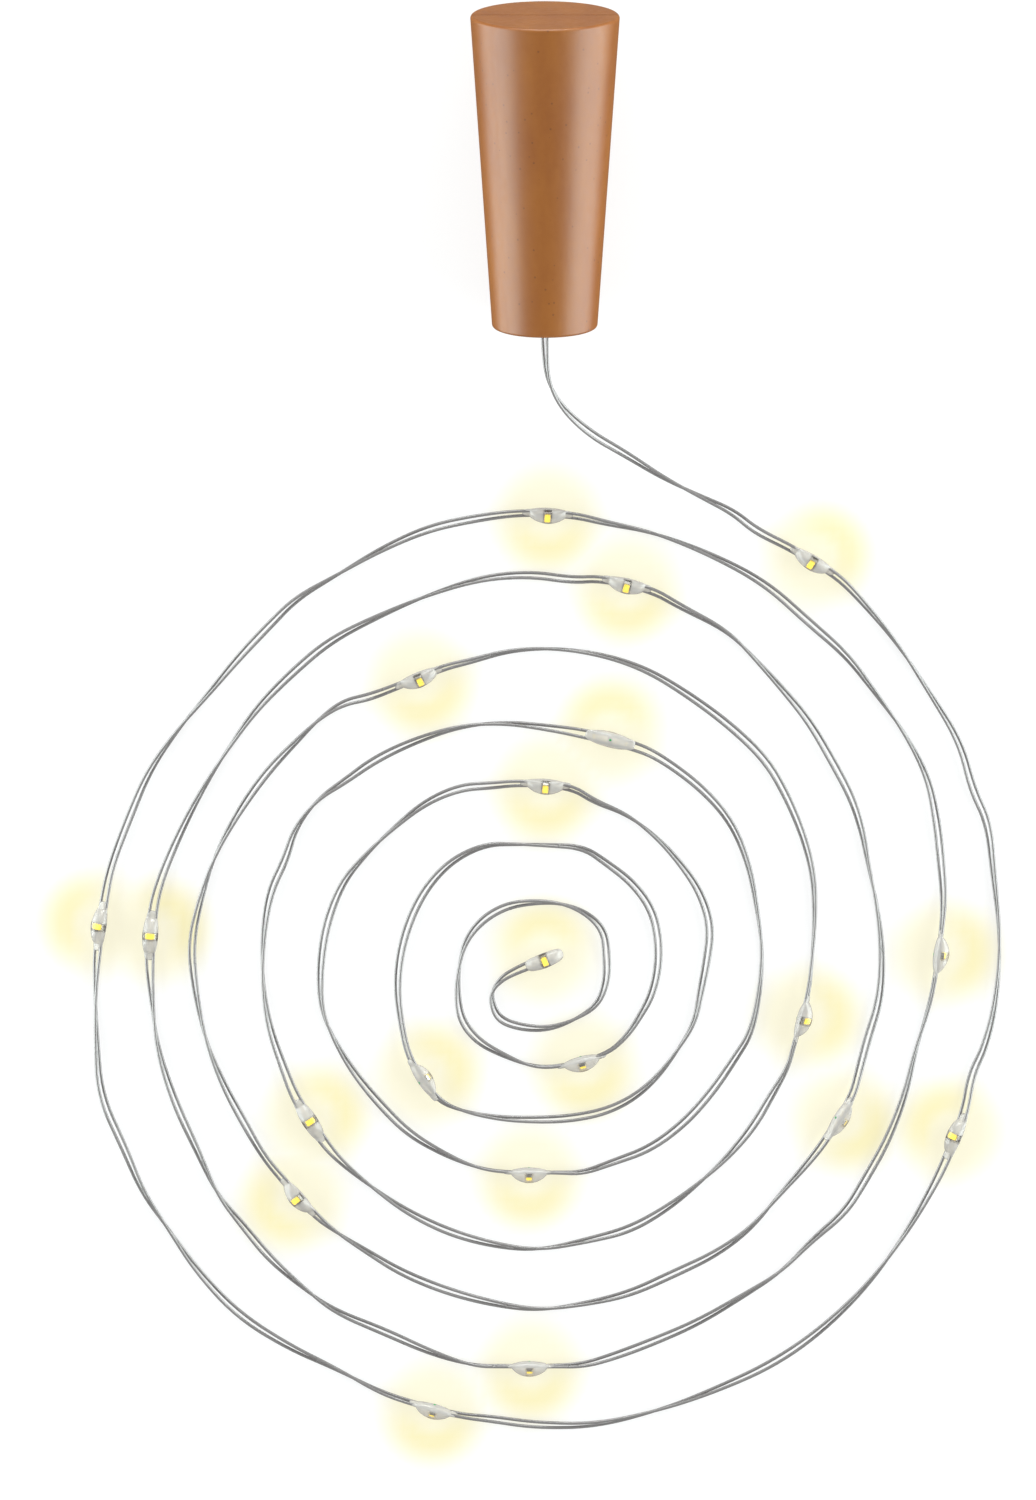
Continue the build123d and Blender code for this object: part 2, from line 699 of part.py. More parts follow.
def make_string_leads():
    """The ends of the two strands inside the stopper, from the board out to the narrow end."""
    leads = []
    inside = shell_wall + seat_gap + grommet_flange_height + lead_turn
    for side in (-1, 1):
        x, y = pad_place(side)
        low = board_top + solder_height + strand_radius + seat_gap
        points = [(x, y + lead_turn, low), (x, y, low), (side * exit_pair_spread, inside, 0),
                  (side * exit_pair_spread, 0, 0)]
        leads.append(tube(points, strand_radius))
    return leads


def make_battery_leads():
    """The lead from the cells to the switch, the red lead to the board, and the black lead from the cells."""
    radius = lead_diameter / 2
    pin_top = switch_seat + switch_height + switch_wafer_height + switch_pin_length + seat_gap
    tail_top = tray_side_rise + radius + seat_gap
    joint_top = board_top + solder_height
    tail_end = tray_end + contact_tail_length
    first_pin = switch_centre - switch_pin_pitch
    jumper = [(0, tail_end - lead_turn, tail_top), (0, tail_end + lead_turn, tail_top),
              (0, first_pin, tail_top - lead_turn), (0, first_pin, pin_top)]
    x, y = battery_pad(1)
    red = [(0, switch_centre, pin_top), (0, switch_centre, pin_top + lead_rise),
           (lead_side / 2, switch_centre - lead_turn, lead_height - lead_turn),
           (lead_side, tail_end, lead_height), (lead_side, tray_start + lead_turn, lead_height),
           (x + lead_turn, y + lead_turn, joint_top + lead_height), (x, y, joint_top + lead_rise),
           (x, y, joint_top)]
    x, y = battery_pad(-1)
    tail = tray_start - contact_tail_length + lead_turn / 2
    black = [(0, tail, tail_top), (-lead_turn, tail, tail_top), (x, y, joint_top + lead_rise),
             (x, y, joint_top)]
    return tube(jumper, radius), tube(red, radius), tube(black, radius)


def bearing_place(bearing, reach):
    """A place on the floor from a clockwise bearing and a distance from the middle of the spiral."""
    angle = math.radians(bearing)
    return (spiral_centre[0] + reach * math.sin(angle), spiral_centre[1] + reach * math.cos(angle))


def string_route():
    """The middle line of the string, as places with a heading, the roll of the pair and its spread."""
    exit_place = Vector(0, -floor_half_length, narrow_radius * math.cos(tilt))
    outward = Vector(0, -math.cos(tilt), -math.sin(tilt))
    lead_in = [Vector(*place) for place in lead_in_points]
    stretches = [[exit_place, exit_place + outward * exit_run] + lead_in]
    for stretch in bends:
        places = [bearing_place(bearing, reach) for bearing, reach in stretch]
        stretches.append([Vector(x, y, string_rest_height) for x, y in places])
    route = []
    roll = 0.0
    last_dome = 0.0
    for number, (stretch, drop) in enumerate(zip(stretches, drops)):
        x, y, heading, dome, half_turns = drop
        twist = dome - last_dome + half_turns * half_circle
        for step, place in enumerate(stretch):
            share = step / len(stretch)
            spread = exit_pair_spread if number == 0 and step < 2 else pair_spread
            route.append((place, None, roll + twist * share, spread))
        roll = roll + twist
        last_dome = dome
        ahead = Vector(math.cos(math.radians(heading)), math.sin(math.radians(heading)), 0)
        middle = Vector(x, y, drop_pair_height(number))
        is_end = number == len(drops) - 1
        run_in = end_run_in if is_end else drop_run / 2
        run_out = end_wire_reach if is_end else drop_run / 2
        route.append((middle - ahead * run_in, ahead, roll, drop_pair_spread))
        route.append((middle + ahead * run_out, ahead, roll, drop_pair_spread))
    return route


def drop_size(number):
    """The length and the diameter of a drop; the last one is a longer bead that closes the string."""
    if number == len(drops) - 1:
        return end_drop_length, end_drop_diameter
    return drop_length, drop_diameter


def drop_pair_height(number):
    """Height of the two strands in a drop that rests on the floor with its dome rolled over."""
    roll = math.radians(drops[number][3])
    return drop_size(number)[1] / 2 - drop_dome_offset * math.cos(roll)


def strand_points(route, side):
    """The places of one strand of the pair along the route."""
    places = [place for place, heading, roll, spread in route]
    points = []
    for index, (place, heading, roll, spread) in enumerate(route):
        before = places[max(index - 1, 0)]
        after = places[min(index + 1, len(places) - 1)]
        if heading is None:
            heading = (after - before).normalized()
            if 0 < index < len(places) - 1:
                heading = ((place - before).normalized() + (after - place).normalized()).normalized()
        right = Vector(heading.Y, -heading.X, 0).normalized()
        up = right.cross(heading)
        angle = math.radians(roll)
        points.append(place + (right * math.cos(angle) - up * math.sin(angle)) * (side * spread))
    return points


def drop_frame(number):
    """The frame of a drop, with X along the string, Y across the strands and Z towards the dome."""
    x, y, heading, dome, half_turns = drops[number]
    angle = math.radians(heading)
    roll = math.radians(dome)
    ahead = Vector(math.cos(angle), math.sin(angle), 0)
    right = Vector(ahead.Y, -ahead.X, 0)
    dome_way = Vector(0, 0, 1) * math.cos(roll) + right * math.sin(roll)
    middle = Vector(x, y, drop_pair_height(number)) + dome_way * drop_dome_offset
    return Plane(origin=middle, x_dir=ahead, z_dir=dome_way)


def make_drop(number):
    """The clear almond of one light, before the strands and the chip are cut from it."""
    length, diameter = drop_size(number)
    half = length / 2
    tip = drop_tip_diameter / 2
    waist = Edge.make_three_point_arc((-half, tip, 0), (0, diameter / 2, 0), (half, tip, 0))
    sides = [Line((half, tip), (half, 0)), Line((half, 0), (-half, 0)), Line((-half, 0), (-half, tip))]
    outline = make_face(Curve() + [waist] + sides)
    almond = revolve(outline, Axis.X)
    ends = almond.edges().filter_by(GeomType.CIRCLE)
    almond = fillet(ends.sort_by(Axis.X)[0::len(ends) - 1], drop_tip_round)
    frame = drop_frame(number)
    return frame.location * almond


def chip_box(number, gap):
    """The light chip of one drop, which sits across both strands on the dome side."""
    floor = strand_radius + potting_gap - drop_dome_offset
    z = (floor - gap, floor + chip_height + gap)
    chip = block(centred(chip_length + 2 * gap), centred(chip_width + 2 * gap), z)
    if not gap:
        chip = fillet(chip.faces().sort_by(Axis.Z)[-1].edges(), chip_round)
    return drop_frame(number).location * chip


def bored(drop, points):
    """A drop with the bore of one strand, whose seam line is turned until the cut goes through."""
    for turn in bore_turns:
        cut = drop - tube(points, strand_radius + potting_gap, turn=turn)
        if cut.volume < drop.volume:
            return cut
    raise ValueError("no turn of the seam line cuts the bore")


def cut_drop(number, strands):
    """One drop with its two strand bores and the room for its chip."""
    drop = make_drop(number) - chip_box(number, potting_gap)
    entry = drop_entry(number)
    for points in strands:
        drop = bored(drop, points[entry - 1:entry + 3])
    return drop


def drop_entry(number):
    """Where in the route the string enters a drop."""
    stretches = [[0, 0] + lead_in_points] + bends
    return sum(len(stretch) for stretch in stretches[:number + 1]) + 2 * number


def least_gap(points, others, apart):
    """The least gap between two tubes on points of their routes, past a number of neighbours."""
    middles = [(Vector(*a) + Vector(*b)) / 2 for a, b in zip(points, points[1:])]
    other_middles = [(Vector(*a) + Vector(*b)) / 2 for a, b in zip(others, others[1:])]
    ours = [tuple(place) for place in middles]
    theirs = [tuple(place) for place in other_middles]
    gaps = []
    for index, place in enumerate(ours):
        for other_index, other in enumerate(theirs):
            if abs(index - other_index) > apart:
                gaps.append(math.dist(place, other) - strand_diameter)
    return min(gaps)


def build_stopper():
    """Writes every piece of the stopper."""
    body = cork_body()
    hollow = cork_hollow()
    save_inside("front_cover", make_front_cover(body, hollow))
    save_inside("rear_shell", make_rear_shell(body, hollow))
    save_inside("battery_tray", make_tray())
    save_inside("negative_contact", make_contact(tray_start + tray_wall + contact_thickness, -1))
    save_inside("positive_contact", make_contact(stack_end + end_play, 1))
    save_inside("negative_spring", make_spring())
    for index in range(cell_count):
        can, cap, seal = make_cell(index)
        save_inside(f"cell_can_{index + 1}", can)
        save_inside(f"cell_cap_{index + 1}", cap)
        save_inside(f"cell_seal_{index + 1}", seal)
    save_inside("tray_screw_left", make_screw(-1))
    save_inside("tray_screw_right", make_screw(1))
    save_inside("circuit_board", make_board())
    save_inside("board_resistor", make_resistor())
    save_group_inside("solder_joints", make_solder())
    save_inside("switch_frame", make_switch_frame())
    save_inside("switch_wafer", make_switch_wafer())
    save_group_inside("switch_pins", make_switch_pins())
    save_inside("switch_slider", make_slider())
    save_inside("switch_wiper", make_wiper())
    jumper, red, black = make_battery_leads()
    save_inside("positive_lead", jumper)
    save_inside("red_lead", red)
    save_inside("black_lead", black)
    save_group_inside("string_leads", make_string_leads())
    save_inside("exit_grommet", make_grommet())


def build_string():
    """Writes the two strands, each as a free stretch to the first drop and a spiral, and the drops on them."""
    route = string_route()
    strands = [strand_points(route, side) for side in (-1, 1)]
    entry = drop_entry(0)
    spirals = []
    for name, points in zip(("a", "b"), strands):
        middle = (points[entry] + points[entry + 1]) / 2
        free_stretch = points[:entry + 1] + [middle]
        spiral = [middle] + points[entry + 1:]
        spirals.append(spiral)
        save(f"lead_in_strand_{name}", tube(free_stretch, strand_radius, f"free stretch {name}"))
        save(f"spiral_strand_{name}", tube(spiral, strand_radius, f"spiral {name}"))
    print("least gap of a spiral strand to itself", round(least_gap(spirals[0], spirals[0], 2), 2))
    print("least gap between the two strands", round(least_gap(spirals[0], spirals[1], -1), 2))
    for number in range(len(drops)):
        save(f"led_drop_{number + 1:02d}", cut_drop(number, strands))
    save("led_chips", Compound(children=[chip_box(number, 0) for number in range(len(drops))]))


build_stopper()
build_string()
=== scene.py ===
import math

import bmesh
import bpy
from mathutils import Matrix, Vector


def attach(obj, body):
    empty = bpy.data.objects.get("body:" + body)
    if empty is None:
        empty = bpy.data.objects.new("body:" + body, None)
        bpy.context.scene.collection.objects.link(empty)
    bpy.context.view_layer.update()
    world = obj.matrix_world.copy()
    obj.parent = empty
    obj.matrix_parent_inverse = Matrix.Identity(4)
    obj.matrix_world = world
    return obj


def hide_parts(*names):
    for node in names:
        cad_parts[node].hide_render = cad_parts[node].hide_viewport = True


bl_info = {
    "name": "Cork bottle light",
    "version": (1, 0, 0),
    "blender": (4, 5, 0),
    "location": "View3D > Sidebar > Bottle Light",
    "description": "Dresses a cork-shaped bottle light and its string of drop lights on a pale studio floor",
    "category": "Object",
}

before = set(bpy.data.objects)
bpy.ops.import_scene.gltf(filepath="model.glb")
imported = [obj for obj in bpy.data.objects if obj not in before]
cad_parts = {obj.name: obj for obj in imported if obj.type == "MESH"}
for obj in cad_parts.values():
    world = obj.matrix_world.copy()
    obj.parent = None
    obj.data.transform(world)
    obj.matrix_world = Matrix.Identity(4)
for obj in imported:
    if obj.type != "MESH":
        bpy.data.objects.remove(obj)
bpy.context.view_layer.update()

MM = 0.001
STOPPER_BODY = "stopper"
KNOB_BODY = "switch_knob"
LEFT = -1
RIGHT = 1
HALF_CIRCLE = 180.0

# Stopper, which lies on its side on the floor
CORK_LENGTH = 49.0 * MM
CORK_WIDE_RADIUS = 11.5 * MM
CORK_NARROW_RADIUS = 8.15 * MM
CORK_TILT = math.atan((CORK_WIDE_RADIUS - CORK_NARROW_RADIUS) / CORK_LENGTH)

# String of two strands, in millimetres. A spread is how far each strand lies from the middle of the pair
STRAND_RADIUS = 0.25
PAIR_SPREAD = 0.45
DROP_PAIR_SPREAD = 0.6
EXIT_PAIR_SPREAD = 0.4
REST_HEIGHT = 0.75
SPIRAL_CENTRE = (0.0, -128.5)

# Straight runs of the string, in millimetres: out of the stopper, through a drop and in the last drop
EXIT_RUN = 4.5
DROP_RUN = 8.0
END_RUN_IN = 2.0
END_WIRE_REACH = 1.4

# Light drops, in millimetres
DROP_LENGTH = 5.6
DROP_DIAMETER = 2.6
END_DROP_LENGTH = 6.3
END_DROP_DIAMETER = 2.5
DOME_OFFSET = 0.45

# Form of a drop: the powers that round its ends and swell its dome, and the heights where its back turns hazy
END_POWER = 5.0
END_ROUND = 0.4
SWELL_POWER = 0.8
BACK_HAZE = (-0.1, -0.4)
LEAST_RING = 1e-6
RIPPLE_SIZE = 2.0 * MM

# Light chip in a drop, in millimetres along the string, across it and up
CHIP_BOARD = (0.9, 1.5, 0.25)
CHIP_END = (1.0, 0.3, 0.42)
CHIP_RESIN = (0.84, 1.12, 0.4)
CHIP_ROOM_LENGTH = 1.6
CHIP_GAP = 0.05

# How sharp the softened edges of a chip's blocks are
BLOCK_POWER = 8.0

# Route of the string from the stopper to the first drop, as places above the floor in millimetres
LEAD_IN_POINTS = [
    (0.6, -33.9, 6.6),
    (3.0, -38.2, 5.0),
    (7.3, -42.3, 3.5),
    (12.5, -45.5, 2.3),
    (18.5, -49.5, 1.4),
    (24.5, -52.6, 0.9),
    (29.5, -55.0, 0.8),
    (33.0, -58.0, 0.8),
]

# Each drop has its place, the heading of the string in it, the roll of its dome, and how many half twists the
# pair makes on its way there
DROPS = [
    (41.9, -62.7, -31.0, 40.0, 2),
    (65.1, -155.3, -111.0, 40.0, 2),
    (-17.6, -199.8, 164.0, -100.0, 3),
    (-69.9, -121.2, 82.0, -35.0, 2),
    (0.5, -55.2, -3.0, 45.0, 2),
    (62.1, -125.7, -97.0, -100.0, 3),
    (-2.3, -192.8, 180.0, -85.0, 2),
    (-62.0, -122.7, 86.0, -8.0, 3),
    (12.9, -66.4, -13.0, 40.0, 2),
    (46.6, -152.3, -121.0, -125.0, 3),
    (-38.9, -165.2, 131.0, -40.0, 2),
    (-19.7, -81.3, 23.0, 45.0, 3),
    (40.6, -136.2, -106.0, -70.0, 2),
    (-37.1, -152.8, 122.0, 10.0, 3),
    (10.3, -91.1, -14.0, 172.0, 2),
    (-2.4, -161.1, 180.0, -80.0, 3),
    (0.2, -98.4, -4.0, 45.0, 2),
    (-19.2, -146.0, 123.0, 125.0, 2),
    (5.9, -143.0, -165.5, -85.0, 3),
    (0.0, -126.6, 21.6, 15.0, 4),
]

# Bends of the string before each next drop, as a bearing clockwise from +Y and a distance from the centre
BENDS = [
    [(39, 77.6), (46, 76.4), (53, 75.2), (60.5, 75.0), (66.5, 73.3), (71, 73.8), (77.5, 72.4),
     (86, 72.1), (94, 71.5), (100, 70.7), (104, 69.5)],
    [(120, 70.9), (126.5, 71.5), (134.5, 72.5), (143, 73.3), (150.5, 73.7), (158, 73.6), (165, 74.0),
     (173.5, 74.7), (181, 74.2), (186.5, 73.6)],
    [(201, 73.5), (207, 72.8), (213.5, 73.5), (221, 74.2), (228.5, 73.6), (234.5, 72.9), (240.5, 73.1),
     (246.5, 72.4), (254, 73.1), (261.5, 71.5), (267.5, 70.9)],
    [(284, 70.3), (290.5, 69.8), (297.5, 70.0), (304, 69.4), (310.5, 69.0), (316.5, 69.5), (322, 70.2),
     (327, 71.3), (333, 71.3), (339, 72.2), (345.5, 73.2), (351.5, 73.3)],
    [(7.5, 72.4), (13.5, 72.3), (21, 71.7), (29, 71.2), (36.5, 69.6), (43, 69.4), (49, 68.5),
     (56, 68.3), (62.5, 67.9), (68.5, 66.3), (74, 64.9), (79.5, 64.0)],
    [(96, 60.9), (102.5, 60.0), (109, 60.5), (116.5, 60.9), (123.5, 61.1), (129.5, 61.8), (136, 61.0),
     (142.5, 61.8), (149, 61.6), (157, 62.3), (165, 63.0), (170.5, 63.9), (174.5, 64.6)],
    [(189.8, 65.4), (196, 64.8), (203.5, 64.0), (211, 64.7), (217, 64.2), (223, 63.9), (229, 63.2),
     (235, 63.3), (241.5, 62.2), (250, 62.2), (258.5, 62.4), (266, 62.1)],
    [(284, 62.2), (291, 61.5), (298.5, 61.2), (306, 61.2), (313, 61.8), (320, 62.1), (327.5, 62.8),
     (335, 62.6), (343, 63.0), (351, 63.8), (358, 63.7), (4, 62.8)],
    [(20, 62.2), (27.5, 61.7), (33, 60.1), (39, 58.8), (46, 57.8), (53.5, 56.4), (60, 55.8),
     (66, 54.8), (71, 53.8), (79, 53.5), (87, 53.4), (95, 53.2), (102, 52.2), (108, 52.3)],
    [(127, 52.1), (134.5, 52.1), (142, 53.2), (149.5, 53.5), (157.5, 53.4), (165.5, 54.3), (173, 54.6),
     (180.8, 55.3), (188, 54.8), (196, 54.4), (204.5, 54.1), (212, 53.6), (218, 53.8)],
    [(236, 53.7), (243, 53.5), (250.5, 54.0), (258.5, 54.7), (267, 55.2), (274.5, 55.9), (282, 55.4),
     (290, 55.1), (298, 54.5), (306, 54.1), (313, 53.7), (319.5, 53.8), (324, 53.4), (328, 51.9)],
    [(347, 51.1), (354, 51.8), (2, 51.9), (10.5, 51.6), (18.5, 51.0), (27, 49.8), (36, 49.1),
     (45.5, 48.7), (53.5, 47.4), (62, 46.2), (70, 45.1), (78, 43.6), (86, 42.4)],
    [(112, 41.6), (119, 41.2), (127, 41.6), (135.5, 41.9), (144, 42.3), (153, 43.2), (162, 44.2),
     (170, 44.3), (181, 45.5), (190, 45.3), (199.5, 45.1), (209, 44.8), (218, 44.5), (226, 44.7)],
    [(249, 44.1), (258.5, 44.4), (268, 44.5), (277.5, 44.7), (286.5, 45.1), (294, 44.5), (300.5, 45.5),
     (308, 45.1), (314, 43.8), (322, 43.2), (331, 42.3), (341, 41.6), (351, 40.5), (1.5, 39.1)],
    [(28, 38.9), (40, 38.5), (51, 38.0), (62, 36.5), (73, 35.0), (84, 34.6), (95.5, 34.2),
     (107, 34.2), (115, 33.3), (126, 33.0), (138, 33.2), (150, 33.4), (161, 32.9), (169.5, 33.4)],
    [(199, 33.7), (208, 33.7), (219, 34.0), (230, 33.8), (241, 34.3), (251, 35.0), (260, 35.8),
     (271, 35.4), (282.5, 35.2), (294, 34.9), (303, 33.9), (314, 33.1), (325.5, 33.0),
     (336, 32.4), (344.5, 31.0)],
    [(16, 28.4), (27, 28.4), (39, 27.9), (51, 27.6), (63, 27.7), (75, 27.2), (86, 25.7),
     (97, 24.9), (109, 25.2), (121, 24.7), (133, 24.8), (145, 25.0), (157, 24.8), (170, 24.3),
     (183, 24.2), (196, 24.9), (208, 26.0)],
    [(250, 24.1), (264, 23.4), (279, 22.9), (294, 22.8), (308, 23.0), (322, 23.0), (336, 22.4),
     (348, 20.9), (1, 20.3), (17, 20.9), (29, 20.0), (44, 19.9), (59, 19.7), (73, 18.8),
     (88, 18.0), (103, 17.4), (115.5, 16.8), (129, 16.8)],
    [(188, 15.6), (205, 15.1), (222, 15.5), (238, 15.4), (254, 14.3), (273, 13.5), (292, 13.4),
     (311, 12.8), (331, 12.1), (352, 11.3), (14, 11.3), (35, 11.5), (55, 11.5), (75, 10.2),
     (99, 10.0), (123, 10.1), (148, 9.3), (175, 9.4), (200, 9.8), (222, 10.7), (240, 9.7),
     (251, 8.5), (261, 6.5), (272, 4.2)],
]

# Camera, worked out from where the stopper, the drops and the bends lie in the picture
IMAGE_HEIGHT = 1500
FOCAL_PIXELS = 9554
SENSOR_HEIGHT = 36.0
CAMERA_TARGET = Vector((-4.14, -93.09, 0.0)) * MM
CAMERA_TILT = math.radians(11.56)
CAMERA_DISTANCE = 1500.0 * MM
CAMERA_CLIP = (0.05, 20.0)

# Small pieces in a drop and on the knob
SOLDER_SIZE = (0.8 * MM, 0.4 * MM, 0.56 * MM)
MARK_SIZE = (0.42 * MM, 0.34 * MM, 0.2 * MM)
KNOB_LENGTH = 1.9 * MM
FACE_TOLERANCE = 0.01 * MM

# Floor round the object: how far it reaches in metres, and the mesh under the string
FLOOR_REACH = 1.6
FLOOR_STEP = 1.5 * MM
# Margin round the lights where the floor's mesh carries their painted glow
GLOW_MARGIN = 14.0 * MM

# Heading of the side on which the painted glow of each light is strongest on the floor, in degrees, how far
# the painted glow shifts that way, and how far round the light it reaches
BEAM_HEADINGS = [35, 140, -95, 165, -90, 0, -85, 30, -90, -35, -145, -70, 0, 30, 90, -90, -90, 35, -75, 95]
BEAM_SHIFT = 0.9 * MM
BEAM_SIDE = 0.25

# Sizes of the patterns in the finishes, and how the cork's streaks are stretched along the stopper
CORK_STREAK = 5.0 * MM
CORK_STRETCH = (1.0, 0.22, 1.0)
CORK_MOTTLE = 0.9 * MM
CORK_GRAIN = 0.22 * MM
SPECK_SPACING = 1.7 * MM
PLASTIC_CLOUD = 3.0 * MM
METAL_CLOUD = 2.5 * MM
DRAWN_LINES = 0.3 * MM
WEAVE_STEP = 0.4 * MM
MASK_CLOUD = 1.2 * MM
POWDER_GRAIN = 0.35 * MM
EPOXY_CLOUD = 1.2 * MM
WIRE_CLOUD = 6.0 * MM
SILICONE_CLOUD = 0.8 * MM
PAPER_CLOUD = 40.0 * MM

# Values between which most of a noise lies, and most of a noise that is stretched to lines
NOISE_SPREAD = {"From Min": 0.3, "From Max": 0.7}
LINE_SPREAD = {"From Min": 0.25, "From Max": 0.75}

# Where the room's brightness changes, as the part of a direction that points up, or away behind the stopper
HORIZON = {"From Min": -0.05, "From Max": 0.1}
DOME = {"From Min": 0.3, "From Max": 1.0}
BEHIND = {"From Min": 0.08, "From Max": 0.35}

# Softboxes: the side and the height of each side one, and the sizes and places of all, in metres
SIDE_SOFTBOXES = (("left_softbox", LEFT, 0.04), ("right_softbox", RIGHT, 0.08))
SIDE_SOFTBOX_SIZE = (0.7, 0.6)
BACK_SOFTBOX_SIZE = (0.5, 0.25)
BACK_SOFTBOX_PLACE = Vector((0.0, 0.6, 0.15))
STOPPER_MIDDLE = Vector((0.0, 0.0, 0.0))
OBJECT_MIDDLE = Vector((0.0, -80.0 * MM, 0.0))

# Settings of nodes, and the sockets of a colour mix node, which shares its names among kinds of value
SMOOTH_STEP = {"interpolation_type": "SMOOTHSTEP"}
COLOUR_MIX = {"data_type": "RGBA"}
MIX_FACTOR = 0
MIX_LOW = 6
MIX_HIGH = 7


def linear_colour(text):
    """Turns an sRGB hex colour into the linear colour that the renderer works in."""
    parts = [int(text[place:place + 2], 16) / 255 for place in (1, 3, 5)]
    linear = [part / 12.92 if part <= 0.04045 else ((part + 0.055) / 1.055) ** 2.4 for part in parts]
    return (*linear, 1.0)


def set_inputs(tree, node, inputs):
    """Sets or links a node's inputs.

    A value is a number, a text, an sRGB hex colour, a socket, or a node whose first live output is meant.
    """
    for key, value in inputs.items():
        if isinstance(value, bpy.types.Node):
            value = next(socket for socket in value.outputs if socket.enabled)
        if isinstance(value, bpy.types.NodeSocket):
            tree.links.new(value, node.inputs[key])
        elif isinstance(value, str) and value.startswith("#"):
            node.inputs[key].default_value = linear_colour(value)
        else:
            node.inputs[key].default_value = value


def add_node(tree, kind, settings=None, inputs=None):
    """Adds one node with its settings and its inputs."""
    node = tree.nodes.new(kind)
    for name, value in (settings or {}).items():
        setattr(node, name, value)
    set_inputs(tree, node, inputs or {})
    return node


def start_material(name, settings):
    """Makes a material with one surface shader, and gives it with its tree, shader and object coordinates."""
    material = bpy.data.materials.new(name)
    material.use_nodes = True
    tree = material.node_tree
    tree.nodes.clear()
    shader = add_node(tree, "ShaderNodeBsdfPrincipled", inputs=settings)
    add_node(tree, "ShaderNodeOutputMaterial", inputs={"Surface": shader})
    places = add_node(tree, "ShaderNodeTexCoord").outputs["Object"]
    return material, tree, shader, places


def grain(tree, places, size, detail=3.0, stretch=(1.0, 1.0, 1.0)):
    """A noise whose patches are about as large as a real size in metres, stretched along the axes."""
    mapped = add_node(tree, "ShaderNodeMapping", inputs={"Vector": places, "Scale": stretch})
    return add_node(tree, "ShaderNodeTexNoise", inputs={
        "Vector": mapped, "Scale": 1 / size, "Detail": detail, "Roughness": 0.55})


def finish_surface(tree, shader, cloud, tones, relief, depth, rough=None, spread=NOISE_SPREAD):
    """Gives a shader two tones by one pattern, and by another a relief of a real depth in metres.

    Where the roughness varies, it runs between two values with the relief.
    """
    base = add_node(tree, "ShaderNodeMix", COLOUR_MIX, {
        MIX_FACTOR: cloud, MIX_LOW: tones[0], MIX_HIGH: tones[1]})
    bump = add_node(tree, "ShaderNodeBump", inputs={"Strength": 1.0, "Distance": depth, "Height": relief})
    set_inputs(tree, shader, {"Base Color": base, "Normal": bump})
    if rough:
        varied = add_node(tree, "ShaderNodeMapRange", inputs={
            "Value": relief, **spread, "To Min": rough[0], "To Max": rough[1]})
        set_inputs(tree, shader, {"Roughness": varied})


def moulded_cork_plastic(settings):
    """Satin ABS moulded in cork brown, with broad soft mottling, fine grain and a few dark specks."""
    material, tree, shader, places = start_material("satin_moulded_abs", {
        "IOR": 1.53, "Roughness": 0.42, "Coat Weight": 0.3, "Coat Roughness": 0.4})
    streaks = grain(tree, places, CORK_STREAK, 4.0, CORK_STRETCH)
    mottle = grain(tree, places, CORK_MOTTLE, 2.0)
    fine = grain(tree, places, CORK_GRAIN, 1.0)
    broad = add_node(tree, "ShaderNodeMapRange", inputs={"Value": streaks, **NOISE_SPREAD, "To Max": 0.65})
    shade = add_node(tree, "ShaderNodeMath", {"operation": "MULTIPLY_ADD"}, {0: mottle, 1: 0.35, 2: broad})
    cork = add_node(tree, "ShaderNodeMix", COLOUR_MIX, {
        MIX_FACTOR: shade, MIX_LOW: settings.dark_cork, MIX_HIGH: settings.light_cork})
    spots = add_node(tree, "ShaderNodeTexVoronoi", inputs={"Vector": places, "Scale": 1 / SPECK_SPACING})
    speck = add_node(tree, "ShaderNodeMapRange", inputs={
        "Value": spots, "From Min": 0.07, "From Max": 0.12, "To Min": 0.55, "To Max": 0.0})
    rough = add_node(tree, "ShaderNodeMapRange", inputs={
        "Value": mottle, **NOISE_SPREAD, "To Min": 0.38, "To Max": 0.47})
    finish_surface(tree, shader, speck, (cork, settings.speck), fine, 0.006 * MM)
    set_inputs(tree, shader, {"Roughness": rough})
    return material


def plain_plastic(name, low, high, rough, grain_size):
    """Moulded or extruded plastic with a slight cloud in its colour and a fine spark-eroded grain."""
    material, tree, shader, places = start_material(name, {"IOR": 1.5, "Roughness": rough})
    cloud = grain(tree, places, PLASTIC_CLOUD)
    fine = grain(tree, places, grain_size, 2.0)
    finish_surface(tree, shader, cloud, (low, high), fine, 0.01 * MM, (rough - 0.06, rough + 0.06))
    return material


def plated_metal(name, low, high, rough, stretch=(1.0, 1.0, 1.0)):
    """Drawn or stamped plated metal: fine lines along one way and a soft change of tone."""
    material, tree, shader, places = start_material(name, {"Metallic": 1.0, "Roughness": rough})
    lines = grain(tree, places, DRAWN_LINES, 4.0, stretch)
    cloud = grain(tree, places, METAL_CLOUD, 2.0)
    finish_surface(
        tree, shader, cloud, (low, high), lines, 0.003 * MM, (rough - 0.08, rough + 0.1), LINE_SPREAD)
    return material


